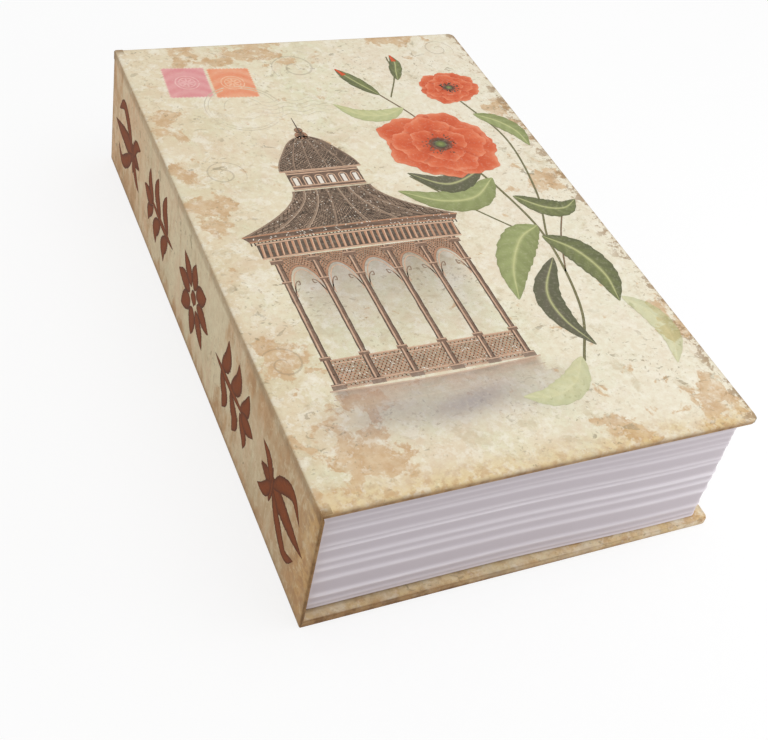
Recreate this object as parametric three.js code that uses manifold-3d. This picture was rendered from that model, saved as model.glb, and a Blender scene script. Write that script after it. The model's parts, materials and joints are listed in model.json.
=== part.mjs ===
// A diversion safe that looks like a thick hardback book.
// A paper-covered board case wraps a ridged white page block, which hides a steel box
// with its own steel door, a three-wheel number lock and a turning knob with a latch arm.
// Millimetres. +Z up, the book lies on its back cover, the spine is on the -X side,
// the tail edge is on the -Y side, and the origin is the centre of the back cover's outer face.
import * as THREE from "three";
import { mergeVertices } from "three/addons/utils/BufferGeometryUtils.js";
import Module from "manifold-3d";

const wasm = await Module();
wasm.setup();

// Driving sizes of the closed book
const bookLength = 240;
const bookWidth = 150;
const bookThickness = 52;

// Small gaps shared by every piece
const seatGap = 0.3; // a piece resting on another
const runningGap = 0.1; // a shaft in its hole, on the radius
const overrun = 2; // how far a cutting tool passes the face that it cuts

// Case: three boards, one printed paper wrap, lining paper
const paper = 0.25;
const board = 1.8;
const coverCornerRadius = 2.6;
const turnIn = 5.2; // width of the printed paper folded over onto the inside
const squareOverhang = 4; // how far the covers stand out past the page block
const creaseGap = 0.6; // between the spine fold and the front board

// Page block
const pageCornerRadius = 3.2;
// Thickness of each bundle of pages, of the page block's height, from the back cover up
const bundleShares = [
  0.036, 0.057, 0.134, 0.138, 0.083, 0.098, 0.085, 0.07, 0.091, 0.051, 0.064, 0.051, 0.042,
];
const bundleDepth = 0.5; // depth of the groove between two bundles of pages
const bundleShoulder = 0.12; // how much of that depth the shoulder of a bundle already has
const bundleShoulderShare = 0.18; // where the shoulder lies, of the bundle's height
const pageRim = 6; // page block wall beside the steel box, at the head, tail and fore-edge
const spineRim = 5.2; // the same wall along the spine

// Steel box and the ledge that its door rests on
const sheet = 1;
const boxCornerRadius = 2;
const boxBelowRim = 0.8;
const ledgeWidth = 10;
const ledgeLeg = 7;
const ledgeSetback = 5; // from the inner ends of the box

// Door
const doorGap = 0.9; // between the door and the box walls
const doorDepth = 10;
const doorShoulder = 4; // radius of the rolled edge round the door's face
const doorCornerRadius = 1.6;
const knobClearance = 0.8; // between the knob and the closed cover
const pinRadius = 1.5;
const pinInset = 5; // from the door's hinge edge to the pin
const pinDepth = 4.2; // from the door's face to the pin
const pinReach = 6; // from the outside of the box wall into the door
const collarRadius = 2.8;
const collarThickness = 0.5;

// Lock plate, seen from the front
const plateWidth = 27.5;
const plateCornerRadius = 4;
const plateThickness = 1.2;
const plateRimWidth = 1.4;
const plateRimHeight = 0.8;
const plateEdgeRound = 0.4;
const plateBelowCentre = 18; // plate centre, towards the tail
const cutoutMargin = 2; // plate overlap on the door's cut-out

// Lock housing behind the door
const housingWall = 1.2;
const housingFloor = 1;
const housingInset = 1.2; // narrower than the plate, on each side
const housingFromLedge = 0.4;

// Number wheels
const wheelCount = 3;
const wheelWidth = 6.4;
const wheelProud = 1; // how far the wheels stand out of the plate
const wheelNotch = 0.4;
const wheelFlatShare = 0.76; // of each digit's place on the rim
const wheelFloorGap = 1.6; // between the wheels and the floor of the housing
const wheelsFromKnob = 10.3; // between the first wheel and the knob
const digitCount = 10;
const windowMargin = 0.3;
const axleRadius = 1.25;
const bulkhead = 1.2;
const bulkheadGap = 0.5;
const bulkheadFromBoss = 1.6; // between the axle's tail support and the screw boss beside it

// Code discs, fence bar and detent spring
const discThickness = 1.6;
const discSideGap = 0.5; // between a code disc and the wheels beside it
const gateWidth = 1.8;
const gateDepth = 1;
const fenceGap = 0.4;
const fenceWidth = 2.2;
const fenceHeight = 2.6;
const fenceTooth = 1.2;
const fenceEnd = 3; // bar length past the cam's centre and past the last tooth
const fenceNose = 1.6;
const fenceNoseDepth = 0.6;
const springThickness = 0.4;
const springBump = 0.55;
const springAboveAxle = 1.2;
const springWallGap = 0.2; // between the spring's back and the housing

// Knob, spindle, cam, latch arm and nut
const knobFromRim = 1.35; // between the knob and the raised rim of the plate
const knobHeight = 6.2;
const knobRim = 1.2;
const knobTaper = 1;
const knobFluteCount = 24;
const knobFlute = 0.45;
const knobFromHead = 18; // knob centre, from the head end of the plate
const spindleRadius = 2.5;
const camLow = 3.6;
const camTravel = 1.6;
const camThickness = 3;
const camHoldShare = 1.25; // where the cam's top ends, in quarter turns from its low point
const camFallShare = 3.75; // where it is low again
const camGap = 0.35;
const armThickness = 1.5;
const armGap = 0.4; // between the arm and the ledge above it
const armHub = 5;
const armReach = 20;
const armTip = 3.4;
const nutFlats = 8;
const nutThickness = 1.6;
const spindleEnd = 0.4; // spindle past the nut
const knobCrown = 2.6; // solid part of the knob above the spindle

// Lock screws and reset slider
const bossRadius = 2.2;
const screwRadius = 0.9;
const screwLength = 7;
const screwHeadRadius = 2;
const screwHeadHeight = 1.2;
const bossSideGap = 0.4; // between a boss and the side wall of the housing
const bossEndGap = 0.1; // between a boss and the end wall
const sliderStem = 2.4;
const sliderPadWidth = 4;
const sliderPadLength = 6;
const sliderPadHeight = 1.3;
const sliderTravel = 5;
const sliderOffset = 5.5; // from the lock's centre line
const sliderFromKnob = 17;

// Facets
const pinSides = 24;
const knobSides = 96;
const cornerSteps = 6;

// Places that follow from the sizes above
const spineX = -bookWidth / 2;
const foreX = bookWidth / 2;
const endY = bookLength / 2;
const coverThickness = paper + board + paper;
const frontCoverZ = bookThickness - coverThickness;
const pageTopZ = frontCoverZ - seatGap;
const pageSpineX = spineX + coverThickness;
const pageForeX = foreX - squareOverhang;
const pageEndY = endY - squareOverhang;

const boxSpineX = pageSpineX + spineRim;
const boxForeX = pageForeX - pageRim;
const boxEndY = pageEndY - pageRim;
const boxTopZ = pageTopZ - boxBelowRim;

const knobTopZ = frontCoverZ - knobClearance;
const doorFaceZ = knobTopZ - knobHeight - seatGap - plateThickness;
const doorBottomZ = doorFaceZ - doorDepth;
const doorInnerZ = doorFaceZ - sheet;
const doorSpineX = boxSpineX + sheet + doorGap;
const doorForeX = boxForeX - sheet - doorGap;
const doorEndY = boxEndY - sheet - doorGap;
const pinX = doorSpineX + pinInset;
const pinZ = doorFaceZ - pinDepth;
const ledgeTopZ = doorBottomZ - seatGap;

const ledgeSpineX = boxForeX - sheet - ledgeWidth;

const plateForeX = ledgeSpineX - housingFromLedge + housingInset;
const lockX = plateForeX - plateWidth / 2;
const knobRadius = plateWidth / 2 - plateRimWidth - knobFromRim;
const bossFromSide = housingWall + bossSideGap + bossRadius;
const bossFromEnd = housingWall + bossEndGap + bossRadius;
const wheelPitch = wheelWidth + discThickness + 2 * discSideGap;
const bulkheadFromTail = housingInset + bossFromEnd + bossRadius + bulkheadFromBoss;
const wheelsFromTail =
  bulkheadFromTail + bulkhead + bulkheadGap + (discThickness + wheelPitch) / 2;
const wheelsFromHead = knobFromHead + knobRadius + wheelsFromKnob + wheelWidth / 2;
const plateLength = wheelsFromHead + (wheelCount - 1) * wheelPitch + wheelsFromTail;
const plateHeadY = plateLength / 2 - plateBelowCentre;
const plateTailY = -plateLength / 2 - plateBelowCentre;
const plateTopZ = doorFaceZ + plateThickness;
const knobY = plateHeadY - knobFromHead;
const armTopZ = ledgeTopZ - sheet - armGap;
const armBottomZ = armTopZ - armThickness;
const floorOuterZ = armTopZ + seatGap;
const floorInnerZ = floorOuterZ + housingFloor;
const wheelRadius = (plateTopZ + wheelProud - floorInnerZ - wheelFloorGap) / 2;
const wheelZ = plateTopZ + wheelProud - wheelRadius;
const discRadius = doorFaceZ - wheelZ - seatGap;
const housingHalf = plateWidth / 2 - housingInset;
const springFromWall = springWallGap + springThickness + springBump;
const wheelX = lockX - housingHalf + housingWall + springFromWall + seatGap + wheelRadius;
const housingHeadY = plateHeadY - housingInset;
const housingTailY = plateTailY + housingInset;
const wheelY = Array.from(
  { length: wheelCount },
  (_, i) => plateTailY + wheelsFromTail + (wheelCount - 1 - i) * wheelPitch,
);
const discY = wheelY.map((y) => y - wheelPitch / 2);
const axleTailY = discY.at(-1) - discThickness / 2 - bulkheadGap - bulkhead;
const axleHeadY = wheelY[0] + wheelWidth / 2 + bulkheadGap + bulkhead;
const sliderY = knobY - sliderFromKnob;

// Colours: printed parchment, grey board, white page plastic, black paint, black plastic
const printed = finish(0xe3d7b6, 0.75, 0);
const greyBoard = finish(0x9b9386, 0.9, 0);
const lining = finish(0xeeebe3, 0.85, 0);
const pageWhite = finish(0xdedbe2, 0.6, 0);
const blackPaint = finish(0x2b2a2e, 0.28, 0);
const blackPlastic = finish(0x121214, 0.35, 0);
const plainSteel = finish(0xb4b4b6, 0.3, 1);

const safe = new THREE.Group();

function finish(color, roughness, metalness) {
  return new THREE.MeshStandardMaterial({ color, roughness, metalness });
}

function piece(name, geometry, material) {
  const mesh = new THREE.Mesh(geometry, material);
  mesh.name = name;
  safe.add(mesh);
  return mesh;
}

// Solids and booleans

function solidOf(geometry) {
  const bare = geometry.clone();
  bare.deleteAttribute("normal");
  bare.deleteAttribute("uv");
  const merged = mergeVertices(bare);
  return new wasm.Manifold(
    new wasm.Mesh({
      numProp: 3,
      vertProperties: new Float32Array(merged.getAttribute("position").array),
      triVerts: new Uint32Array(merged.index.array),
    }),
  );
}

function geometryOf(solid) {
  const mesh = solid.getMesh();
  const geometry = new THREE.BufferGeometry();
  geometry.setAttribute("position", new THREE.BufferAttribute(mesh.vertProperties, mesh.numProp));
  geometry.setIndex(new THREE.BufferAttribute(mesh.triVerts, 1));
  geometry.computeVertexNormals();
  return geometry;
}

function cut(geometry, ...tools) {
  const made = tools.reduce((left, tool) => left.subtract(solidOf(tool)), solidOf(geometry));
  return geometryOf(made);
}

function join(geometry, ...others) {
  const made = others.reduce((sum, other) => sum.add(solidOf(other)), solidOf(geometry));
  return geometryOf(made);
}

// Basic forms

function block(x0, x1, y0, y1, z0, z1) {
  const box = new THREE.BoxGeometry(x1 - x0, y1 - y0, z1 - z0);
  return box.translate((x0 + x1) / 2, (y0 + y1) / 2, (z0 + z1) / 2);
}

function rodAlongY(radius, x, y0, y1, z, sides = pinSides) {
  const rod = new THREE.CylinderGeometry(radius, radius, y1 - y0, sides);
  return rod.translate(x, (y0 + y1) / 2, z);
}

function rodAlongZ(radius, x, y, z0, z1, sides = pinSides) {
  const rod = new THREE.CylinderGeometry(radius, radius, z1 - z0, sides);
  return rod.rotateX(Math.PI / 2).translate(x, y, (z0 + z1) / 2);
}

// Rounded rectangle as a list of points, anticlockwise from the lower right corner.
// The radii are those of the lower right, upper right, upper left and lower left corners.
function roundedOutline(x0, x1, y0, y1, radii) {
  const corners = [
    [x1, y0, -1, 1],
    [x1, y1, -1, -1],
    [x0, y1, 1, -1],
    [x0, y0, 1, 1],
  ];
  return corners.flatMap(([x, y, inX, inY], i) => {
    const radius = radii[i];
    if (radius === 0) return [new THREE.Vector2(x, y)];
    return Array.from({ length: cornerSteps + 1 }, (_, k) => {
      const turn = ((i - 1 + k / cornerSteps) * Math.PI) / 2;
      return new THREE.Vector2(
        x + radius * (inX + Math.cos(turn)),
        y + radius * (inY + Math.sin(turn)),
      );
    });
  });
}

function evenOutline(x0, x1, y0, y1, radius) {
  return roundedOutline(x0, x1, y0, y1, [radius, radius, radius, radius]);
}

function prism(points, z0, z1) {
  return new THREE.ExtrudeGeometry(new THREE.Shape(points), {
    depth: z1 - z0,
    bevelEnabled: false,
  }).translate(0, 0, z0);
}

// A closed skin through outlines with the same number of points, from the lowest to the highest.
function loft(levels) {
  const count = levels[0].points.length;
  const vertices = levels.flatMap(({ points, z }) => points.flatMap((p) => [p.x, p.y, z]));
  const faces = [];
  for (let level = 0; level + 1 < levels.length; level++)
    for (let i = 0; i < count; i++) {
      const a = level * count + i;
      const b = level * count + ((i + 1) % count);
      faces.push(a, b, b + count, a, b + count, a + count);
    }
  const top = (levels.length - 1) * count;
  for (const [a, b, c] of THREE.ShapeUtils.triangulateShape(levels[0].points, []))
    faces.push(c, b, a);
  for (const [a, b, c] of THREE.ShapeUtils.triangulateShape(levels.at(-1).points, []))
    faces.push(top + a, top + b, top + c);
  const geometry = new THREE.BufferGeometry();
  geometry.setAttribute("position", new THREE.Float32BufferAttribute(vertices, 3));
  geometry.setIndex(faces);
  return geometry;
}

// Case

// Cover outline: square at the spine, rounded at the fore-edge, moved in by inset.
function coverOutline(left, inset) {
  const radius = Math.max(coverCornerRadius - inset, 0);
  return roundedOutline(left, foreX - inset, -endY + inset, endY - inset, [radius, radius, 0, 0]);
}

// A board wrapped in printed paper. The outside faces away from the page block, which lies
// towards inward (1 for the back cover, -1 for the front cover).
function cover(side, left, outerZ, inward) {
  const level = (depth) => outerZ + inward * depth;
  const slab = (points, from, to) =>
    prism(points, Math.min(level(from), level(to)), Math.max(level(from), level(to)));
  const turnInOutline = roundedOutline(
    left,
    foreX - turnIn,
    -endY + turnIn,
    endY - turnIn,
    [0, 0, 0, 0],
  );
  const wrap = cut(
    slab(coverOutline(left, 0), 0, coverThickness),
    slab(coverOutline(left - overrun, paper), paper, paper + board),
    slab(
      turnInOutline.map((p) => new THREE.Vector2(p.x === left ? p.x - overrun : p.x, p.y)),
      coverThickness / 2,
      coverThickness + overrun,
    ),
  );
  piece(side + "_cover_paper", wrap, printed);
  piece(side + "_cover_board", slab(coverOutline(left, paper), paper, paper + board), greyBoard);
  piece(side + "_cover_lining", slab(turnInOutline, paper + board, coverThickness), lining);
}

function spine() {
  const innerX = spineX + coverThickness;
  const wrap = join(
    block(spineX, spineX + paper, -endY, endY, 0, bookThickness - seatGap),
    block(spineX, innerX, -endY, -endY + turnIn, coverThickness, pageTopZ),
    block(spineX, innerX, endY - turnIn, endY, coverThickness, pageTopZ),
  );
  const boardRoom = block(
    spineX + paper,
    innerX - paper,
    -endY + paper,
    endY - paper,
    coverThickness - overrun,
    pageTopZ + overrun,
  );
  piece("spine_paper", cut(wrap, boardRoom), printed);
  piece(
    "spine_board",
    block(spineX + paper, innerX - paper, -endY + paper, endY - paper, coverThickness, pageTopZ),
    greyBoard,
  );
}

// Page block

// Heights and depths of the grooves: bundles of pages of uneven thickness.
function bundleLevels() {
  const levels = [];
  let low = coverThickness;
  for (const share of bundleShares) {
    const rise = (pageTopZ - coverThickness) * share;
    levels.push({ z: low, inset: bundleDepth });
    levels.push({ z: low + rise * bundleShoulderShare, inset: bundleShoulder });
    levels.push({ z: low + rise / 2, inset: 0 });
    levels.push({ z: low + rise * (1 - bundleShoulderShare), inset: bundleShoulder });
    low += rise;
  }
  levels.push({ z: pageTopZ, inset: bundleDepth });
  return levels;
}

function pageBlock() {
  const outside = loft(
    bundleLevels().map(({ z, inset }) => ({
      z,
      points: roundedOutline(
        pageSpineX,
        pageForeX - inset,
        -pageEndY + inset,
        pageEndY - inset,
        [pageCornerRadius - inset, pageCornerRadius - inset, 0, 0],
      ),
    })),
  );
  const pocket = prism(
    evenOutline(
      boxSpineX - seatGap,
      boxForeX + seatGap,
      -boxEndY - seatGap,
      boxEndY + seatGap,
      boxCornerRadius + seatGap,
    ),
    coverThickness - overrun,
    pageTopZ + overrun,
  );
  piece("page_block", cut(outside, pocket), pageWhite);
}

// Steel box, ledge and hinge pins

function steelBox() {
  const outside = prism(
    evenOutline(boxSpineX, boxForeX, -boxEndY, boxEndY, boxCornerRadius),
    coverThickness,
    boxTopZ,
  );
  const inside = prism(
    evenOutline(
      boxSpineX + sheet,
      boxForeX - sheet,
      -boxEndY + sheet,
      boxEndY - sheet,
      Math.max(boxCornerRadius - sheet, 0),
    ),
    coverThickness + sheet,
    boxTopZ + overrun,
  );
  const pinHole = rodAlongY(
    pinRadius + runningGap,
    pinX,
    -boxEndY - overrun,
    boxEndY + overrun,
    pinZ,
  );
  piece("steel_box", cut(outside, inside, pinHole), blackPaint);
}

// An angle strip along the fore-edge wall: the door rests on it and the latch arm turns under it.
function latchLedge() {
  const innerForeX = boxForeX - sheet;
  const reachY = boxEndY - sheet - ledgeSetback;
  const strip = join(
    block(ledgeSpineX, innerForeX, -reachY, reachY, ledgeTopZ - sheet, ledgeTopZ),
    block(innerForeX - sheet, innerForeX, -reachY, reachY, ledgeTopZ - ledgeLeg, ledgeTopZ),
  );
  piece("latch_ledge", strip, blackPaint);
}

function hingePins() {
  const innerEndY = boxEndY - sheet;
  for (const [name, side] of [["head", 1], ["tail", -1]]) {
    const pin = rodAlongY(pinRadius, pinX, boxEndY - pinReach, boxEndY, pinZ);
    const collarY = innerEndY - (doorGap - collarThickness) / 2;
    const collar = rodAlongY(collarRadius, pinX, collarY - collarThickness, collarY, pinZ);
    const made = join(pin, collar);
    if (side < 0) made.rotateZ(Math.PI).translate(2 * pinX, 0, 0);
    piece("hinge_pin_" + name, made, plainSteel);
  }
}

// Door

// Outline of the door's sheet, moved in by inset.
function doorOutline(inset) {
  return evenOutline(
    doorSpineX + inset,
    doorForeX - inset,
    -doorEndY + inset,
    doorEndY - inset,
    doorCornerRadius,
  );
}

// A pan with a rolled shoulder: skin is how far inside the outer surface it runs.
function doorPan(skin, bottomZ) {
  const shoulder = doorShoulder - skin;
  const steps = 3;
  const levels = [{ z: bottomZ, points: doorOutline(skin) }];
  for (let k = 0; k <= steps; k++) {
    const turn = ((k / steps) * Math.PI) / 2;
    levels.push({
      z: doorFaceZ - doorShoulder + shoulder * Math.sin(turn),
      points: doorOutline(skin + shoulder * (1 - Math.cos(turn))),
    });
  }
  return loft(levels);
}

function door() {
  const cutout = block(
    lockX - plateWidth / 2 + cutoutMargin,
    lockX + plateWidth / 2 - cutoutMargin,
    plateTailY + cutoutMargin,
    plateHeadY - cutoutMargin,
    doorInnerZ - overrun,
    doorFaceZ + overrun,
  );
  const pinHole = rodAlongY(
    pinRadius + runningGap,
    pinX,
    -doorEndY - overrun,
    doorEndY + overrun,
    pinZ,
  );
  const pan = cut(
    doorPan(0, doorBottomZ),
    doorPan(sheet, doorBottomZ - overrun),
    cutout,
    pinHole,
  );
  piece("door", pan, blackPaint);
}

// Lock

const bosses = [
  [-1, housingHeadY - bossFromEnd],
  [-1, housingTailY + bossFromEnd],
  [1, housingTailY + bossFromEnd],
].map(([side, y]) => ({ x: lockX + side * (housingHalf - bossFromSide), y }));

function lockPlate() {
  const rimTopZ = plateTopZ + plateRimHeight;
  const outline = (inset) =>
    evenOutline(
      lockX - plateWidth / 2 + inset,
      lockX + plateWidth / 2 - inset,
      plateTailY + inset,
      plateHeadY - inset,
      plateCornerRadius - inset,
    );
  const body = loft([
    { z: doorFaceZ, points: outline(0) },
    { z: rimTopZ - plateEdgeRound, points: outline(0) },
    { z: rimTopZ, points: outline(plateEdgeRound) },
  ]);
  const field = prism(outline(plateRimWidth), plateTopZ, rimTopZ + overrun);
  const lip = cut(
    block(
      lockX - plateWidth / 2 + cutoutMargin + seatGap,
      lockX + plateWidth / 2 - cutoutMargin - seatGap,
      plateTailY + cutoutMargin + seatGap,
      plateHeadY - cutoutMargin - seatGap,
      doorInnerZ + runningGap,
      doorFaceZ + plateThickness / 2,
    ),
    block(
      lockX - plateWidth / 2 + cutoutMargin + seatGap + housingWall,
      lockX + plateWidth / 2 - cutoutMargin - seatGap - housingWall,
      plateTailY + cutoutMargin + seatGap + housingWall,
      plateHeadY - cutoutMargin - seatGap - housingWall,
      doorInnerZ - overrun,
      doorFaceZ,
    ),
  );
  const posts = bosses.map(({ x, y }) =>
    rodAlongZ(bossRadius, x, y, floorInnerZ + seatGap, doorFaceZ + plateThickness / 2),
  );
  const halfWindow =
    Math.sqrt(wheelRadius ** 2 - (doorFaceZ - wheelZ) ** 2) + windowMargin;
  const windows = wheelY.map((y) =>
    block(
      wheelX - halfWindow,
      wheelX + halfWindow,
      y - wheelWidth / 2 - windowMargin,
      y + wheelWidth / 2 + windowMargin,
      doorFaceZ - overrun,
      rimTopZ + overrun,
    ),
  );
  const spindleHole = rodAlongZ(
    spindleRadius + seatGap,
    lockX,
    knobY,
    doorFaceZ - overrun,
    rimTopZ + overrun,
  );
  const screwHoles = bosses.map(({ x, y }) =>
    rodAlongZ(
      screwRadius + runningGap,
      x,
      y,
      floorInnerZ - overrun,
      floorOuterZ + screwLength + seatGap,
    ),
  );
  const made = cut(join(body, lip, ...posts), field, ...windows, spindleHole, ...screwHoles);
  piece("lock_plate", made, blackPlastic);
}

function lockHousing() {
  const tray = cut(
    block(
      lockX - housingHalf,
      lockX + housingHalf,
      housingTailY,
      housingHeadY,
      floorOuterZ,
      doorInnerZ,
    ),
    block(
      lockX - housingHalf + housingWall,
      lockX + housingHalf - housingWall,
      housingTailY + housingWall,
      housingHeadY - housingWall,
      floorInnerZ,
      doorInnerZ + overrun,
    ),
  );
  const bulkheadHalf = wheelRadius - bulkhead;
  const plates = [axleTailY, axleHeadY - bulkhead].map((y) =>
    block(
      wheelX - bulkheadHalf,
      wheelX + bulkheadHalf,
      y,
      y + bulkhead,
      floorInnerZ - housingFloor / 2,
      wheelZ + axleRadius + bulkhead,
    ),
  );
  const axleHole = rodAlongY(
    axleRadius + runningGap,
    wheelX,
    axleTailY - overrun / 2,
    axleHeadY + overrun / 2,
    wheelZ,
  );
  const spindleHole = rodAlongZ(
    spindleRadius + seatGap,
    lockX,
    knobY,
    floorOuterZ - overrun,
    floorInnerZ + overrun,
  );
  const screwHoles = bosses.map(({ x, y }) =>
    rodAlongZ(screwRadius + runningGap, x, y, floorOuterZ - overrun, floorInnerZ + overrun),
  );
  const slot = block(
    lockX + sliderOffset - sliderStem / 2 - seatGap,
    lockX + sliderOffset + sliderStem / 2 + seatGap,
    sliderY - sliderStem / 2 - seatGap,
    sliderY + sliderStem / 2 + sliderTravel + seatGap,
    floorOuterZ - overrun,
    floorInnerZ + overrun,
  );
  const made = cut(join(tray, ...plates), axleHole, spindleHole, slot, ...screwHoles);
  piece("lock_housing", made, blackPlastic);
}

// A drum with one flat for each digit and a notch between two digits, its axis along Y.
function wheelGeometry() {
  const outline = [];
  const rimPoints = [[-wheelFlatShare / 2, 0], [wheelFlatShare / 2, 0], [1 / 2, wheelNotch]];
  for (let k = 0; k < digitCount; k++)
    for (const [share, depth] of rimPoints) {
      const turn = (2 * Math.PI * (k + share)) / digitCount;
      const radius = wheelRadius - depth;
      outline.push(new THREE.Vector2(radius * Math.sin(turn), radius * Math.cos(turn)));
    }
  const shape = new THREE.Shape(outline);
  const bore = new THREE.Path();
  bore.absarc(0, 0, axleRadius + runningGap, 0, 2 * Math.PI);
  shape.holes.push(bore);
  const drum = new THREE.ExtrudeGeometry(shape, {
    depth: wheelWidth,
    bevelEnabled: false,
    curveSegments: pinSides,
  });
  return drum.translate(0, 0, -wheelWidth / 2).rotateX(Math.PI / 2);
}

// A thin disc with one gate cut into its rim, its axis along Y.
function codeDiscGeometry() {
  const disc = rodAlongY(discRadius, 0, -discThickness / 2, discThickness / 2, 0, 2 * pinSides);
  const bore = rodAlongY(axleRadius + runningGap, 0, -overrun, overrun, 0);
  const gate = block(
    discRadius - gateDepth,
    discRadius + overrun,
    -overrun,
    overrun,
    -gateWidth / 2,
    gateWidth / 2,
  );
  return cut(disc, bore, gate);
}

function numberWheels() {
  wheelY.forEach((y, i) => {
    piece("number_wheel_" + (i + 1), wheelGeometry(), blackPlastic).position.set(wheelX, y, wheelZ);
    const disc = piece("code_disc_" + (i + 1), codeDiscGeometry(), plainSteel);
    disc.position.set(wheelX, discY[i], wheelZ);
  });
  piece(
    "wheel_axle",
    rodAlongY(axleRadius, wheelX, axleTailY, axleHeadY, wheelZ),
    plainSteel,
  );
}

// A bar beside the wheels: one tooth for each code disc, and a nose that the cam pushes.
function fenceBar() {
  const toothX = wheelX + discRadius + fenceGap;
  const noseX = lockX + camLow + camGap;
  const faceX = noseX + fenceNoseDepth;
  const low = wheelZ - fenceHeight / 2;
  const high = wheelZ + fenceHeight / 2;
  const overlap = fenceWidth / 2;
  const bar = block(
    faceX,
    faceX + fenceWidth,
    discY.at(-1) - fenceTooth / 2,
    knobY + fenceEnd,
    low,
    high,
  );
  const teeth = discY.map((y) =>
    block(toothX, faceX + overlap, y - fenceTooth / 2, y + fenceTooth / 2, low, high),
  );
  const nose = block(
    noseX,
    faceX + overlap,
    knobY - fenceNose / 2,
    knobY + fenceNose / 2,
    low,
    high,
  );
  piece("fence_bar", join(bar, ...teeth, nose), plainSteel);
}

// A spring strip on edge with one bump for each wheel.
function detentSpring() {
  const faceX = wheelX - wheelRadius - seatGap - springBump;
  const tailY = axleTailY + bulkhead;
  const headY = axleHeadY - bulkhead;
  const shape = new THREE.Shape();
  shape.moveTo(faceX - springThickness, tailY);
  shape.lineTo(faceX, tailY);
  for (const y of wheelY.toReversed()) {
    shape.lineTo(faceX, y - wheelWidth / 4);
    shape.lineTo(faceX + springBump, y - wheelWidth / 16);
    shape.lineTo(faceX + springBump, y + wheelWidth / 16);
    shape.lineTo(faceX, y + wheelWidth / 4);
  }
  shape.lineTo(faceX, headY);
  shape.lineTo(faceX - springThickness, headY);
  const low = floorInnerZ + seatGap;
  const strip = new THREE.ExtrudeGeometry(shape, {
    depth: wheelZ + springAboveAxle - low,
    bevelEnabled: false,
  });
  piece("detent_spring", strip.translate(0, 0, low), plainSteel);
}

// Knob with a fluted, slightly tapered rim and a rounded top edge.
function knob() {
  const bottomZ = plateTopZ + seatGap;
  const ring = (radius, flute) =>
    Array.from({ length: knobSides }, (_, k) => {
      const turn = (2 * Math.PI * k) / knobSides;
      const wave = 0.5 - 0.5 * Math.cos(knobFluteCount * turn);
      const r = radius - flute * wave;
      return new THREE.Vector2(lockX + r * Math.cos(turn), knobY + r * Math.sin(turn));
    });
  const body = loft([
    { z: bottomZ, points: ring(knobRadius, 0) },
    { z: bottomZ + knobRim, points: ring(knobRadius, 0) },
    { z: bottomZ + knobRim + knobFlute, points: ring(knobRadius - knobTaper / 2, knobFlute) },
    { z: knobTopZ - knobTaper, points: ring(knobRadius - knobTaper, knobFlute) },
    { z: knobTopZ, points: ring(knobRadius - 2 * knobTaper, 0) },
  ]);
  const socket = rodAlongZ(
    spindleRadius + runningGap,
    lockX,
    knobY,
    bottomZ - overrun,
    knobTopZ - knobCrown + runningGap,
  );
  piece("knob", cut(body, socket), blackPlastic);
}

// The radius facing the fence grows evenly by camTravel over the knob's quarter turn.
function camRadius(turn) {
  const quarter = Math.PI / 2;
  const share = turn / quarter;
  if (share <= 1) return camLow + camTravel * share;
  if (share <= camHoldShare) return camLow + camTravel;
  if (share >= camFallShare) return camLow;
  return camLow + (camTravel * (camFallShare - share)) / (camFallShare - camHoldShare);
}

function spindle() {
  const low = armBottomZ - nutThickness - spindleEnd;
  const shaft = rodAlongZ(spindleRadius, lockX, knobY, low, knobTopZ - knobCrown);
  const outline = Array.from({ length: 2 * pinSides }, (_, k) => {
    const turn = (Math.PI * k) / pinSides;
    const radius = camRadius(turn);
    return new THREE.Vector2(lockX + radius * Math.cos(turn), knobY + radius * Math.sin(turn));
  });
  const cam = prism(outline, wheelZ - camThickness / 2, wheelZ + camThickness / 2);
  piece("knob_spindle", join(shaft, cam), plainSteel);
}

// Flat latch arm, drawn in its open place: it points to the head of the book.
function latchArm() {
  const shape = new THREE.Shape();
  const lean = Math.asin((armHub - armTip) / (armReach - armTip));
  shape.absarc(lockX, knobY, armHub, Math.PI - lean, 2 * Math.PI + lean, false);
  shape.absarc(lockX, knobY + armReach - armTip, armTip, lean, Math.PI - lean, false);
  const hole = new THREE.Path();
  hole.absarc(lockX, knobY, spindleRadius + runningGap, 0, 2 * Math.PI);
  shape.holes.push(hole);
  const plate = new THREE.ExtrudeGeometry(shape, {
    depth: armThickness,
    bevelEnabled: false,
    curveSegments: pinSides,
  });
  piece("latch_arm", plate.translate(0, 0, armBottomZ), plainSteel);

  const across = nutFlats / Math.sqrt(3);
  const nut = new THREE.CylinderGeometry(across, across, nutThickness, 6);
  nut.rotateX(Math.PI / 2).translate(lockX, knobY, armBottomZ - nutThickness / 2);
  const bore = rodAlongZ(
    spindleRadius + runningGap,
    lockX,
    knobY,
    armBottomZ - nutThickness - overrun,
    armBottomZ + overrun,
  );
  piece("spindle_nut", cut(nut, bore), plainSteel);
}

function screws() {
  bosses.forEach(({ x, y }, i) => {
    const shank = rodAlongZ(
      screwRadius,
      x,
      y,
      floorOuterZ - screwHeadHeight / 2,
      floorOuterZ + screwLength,
      pinSides / 2,
    );
    const head = rodAlongZ(screwHeadRadius, x, y, floorOuterZ - screwHeadHeight, floorOuterZ);
    const slot = block(
      x - screwHeadRadius - overrun,
      x + screwHeadRadius + overrun,
      y - screwRadius / 3,
      y + screwRadius / 3,
      floorOuterZ - screwHeadHeight - overrun,
      floorOuterZ - screwHeadHeight / 2,
    );
    piece("lock_screw_" + (i + 1), cut(join(shank, head), slot), plainSteel);
  });
}

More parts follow.
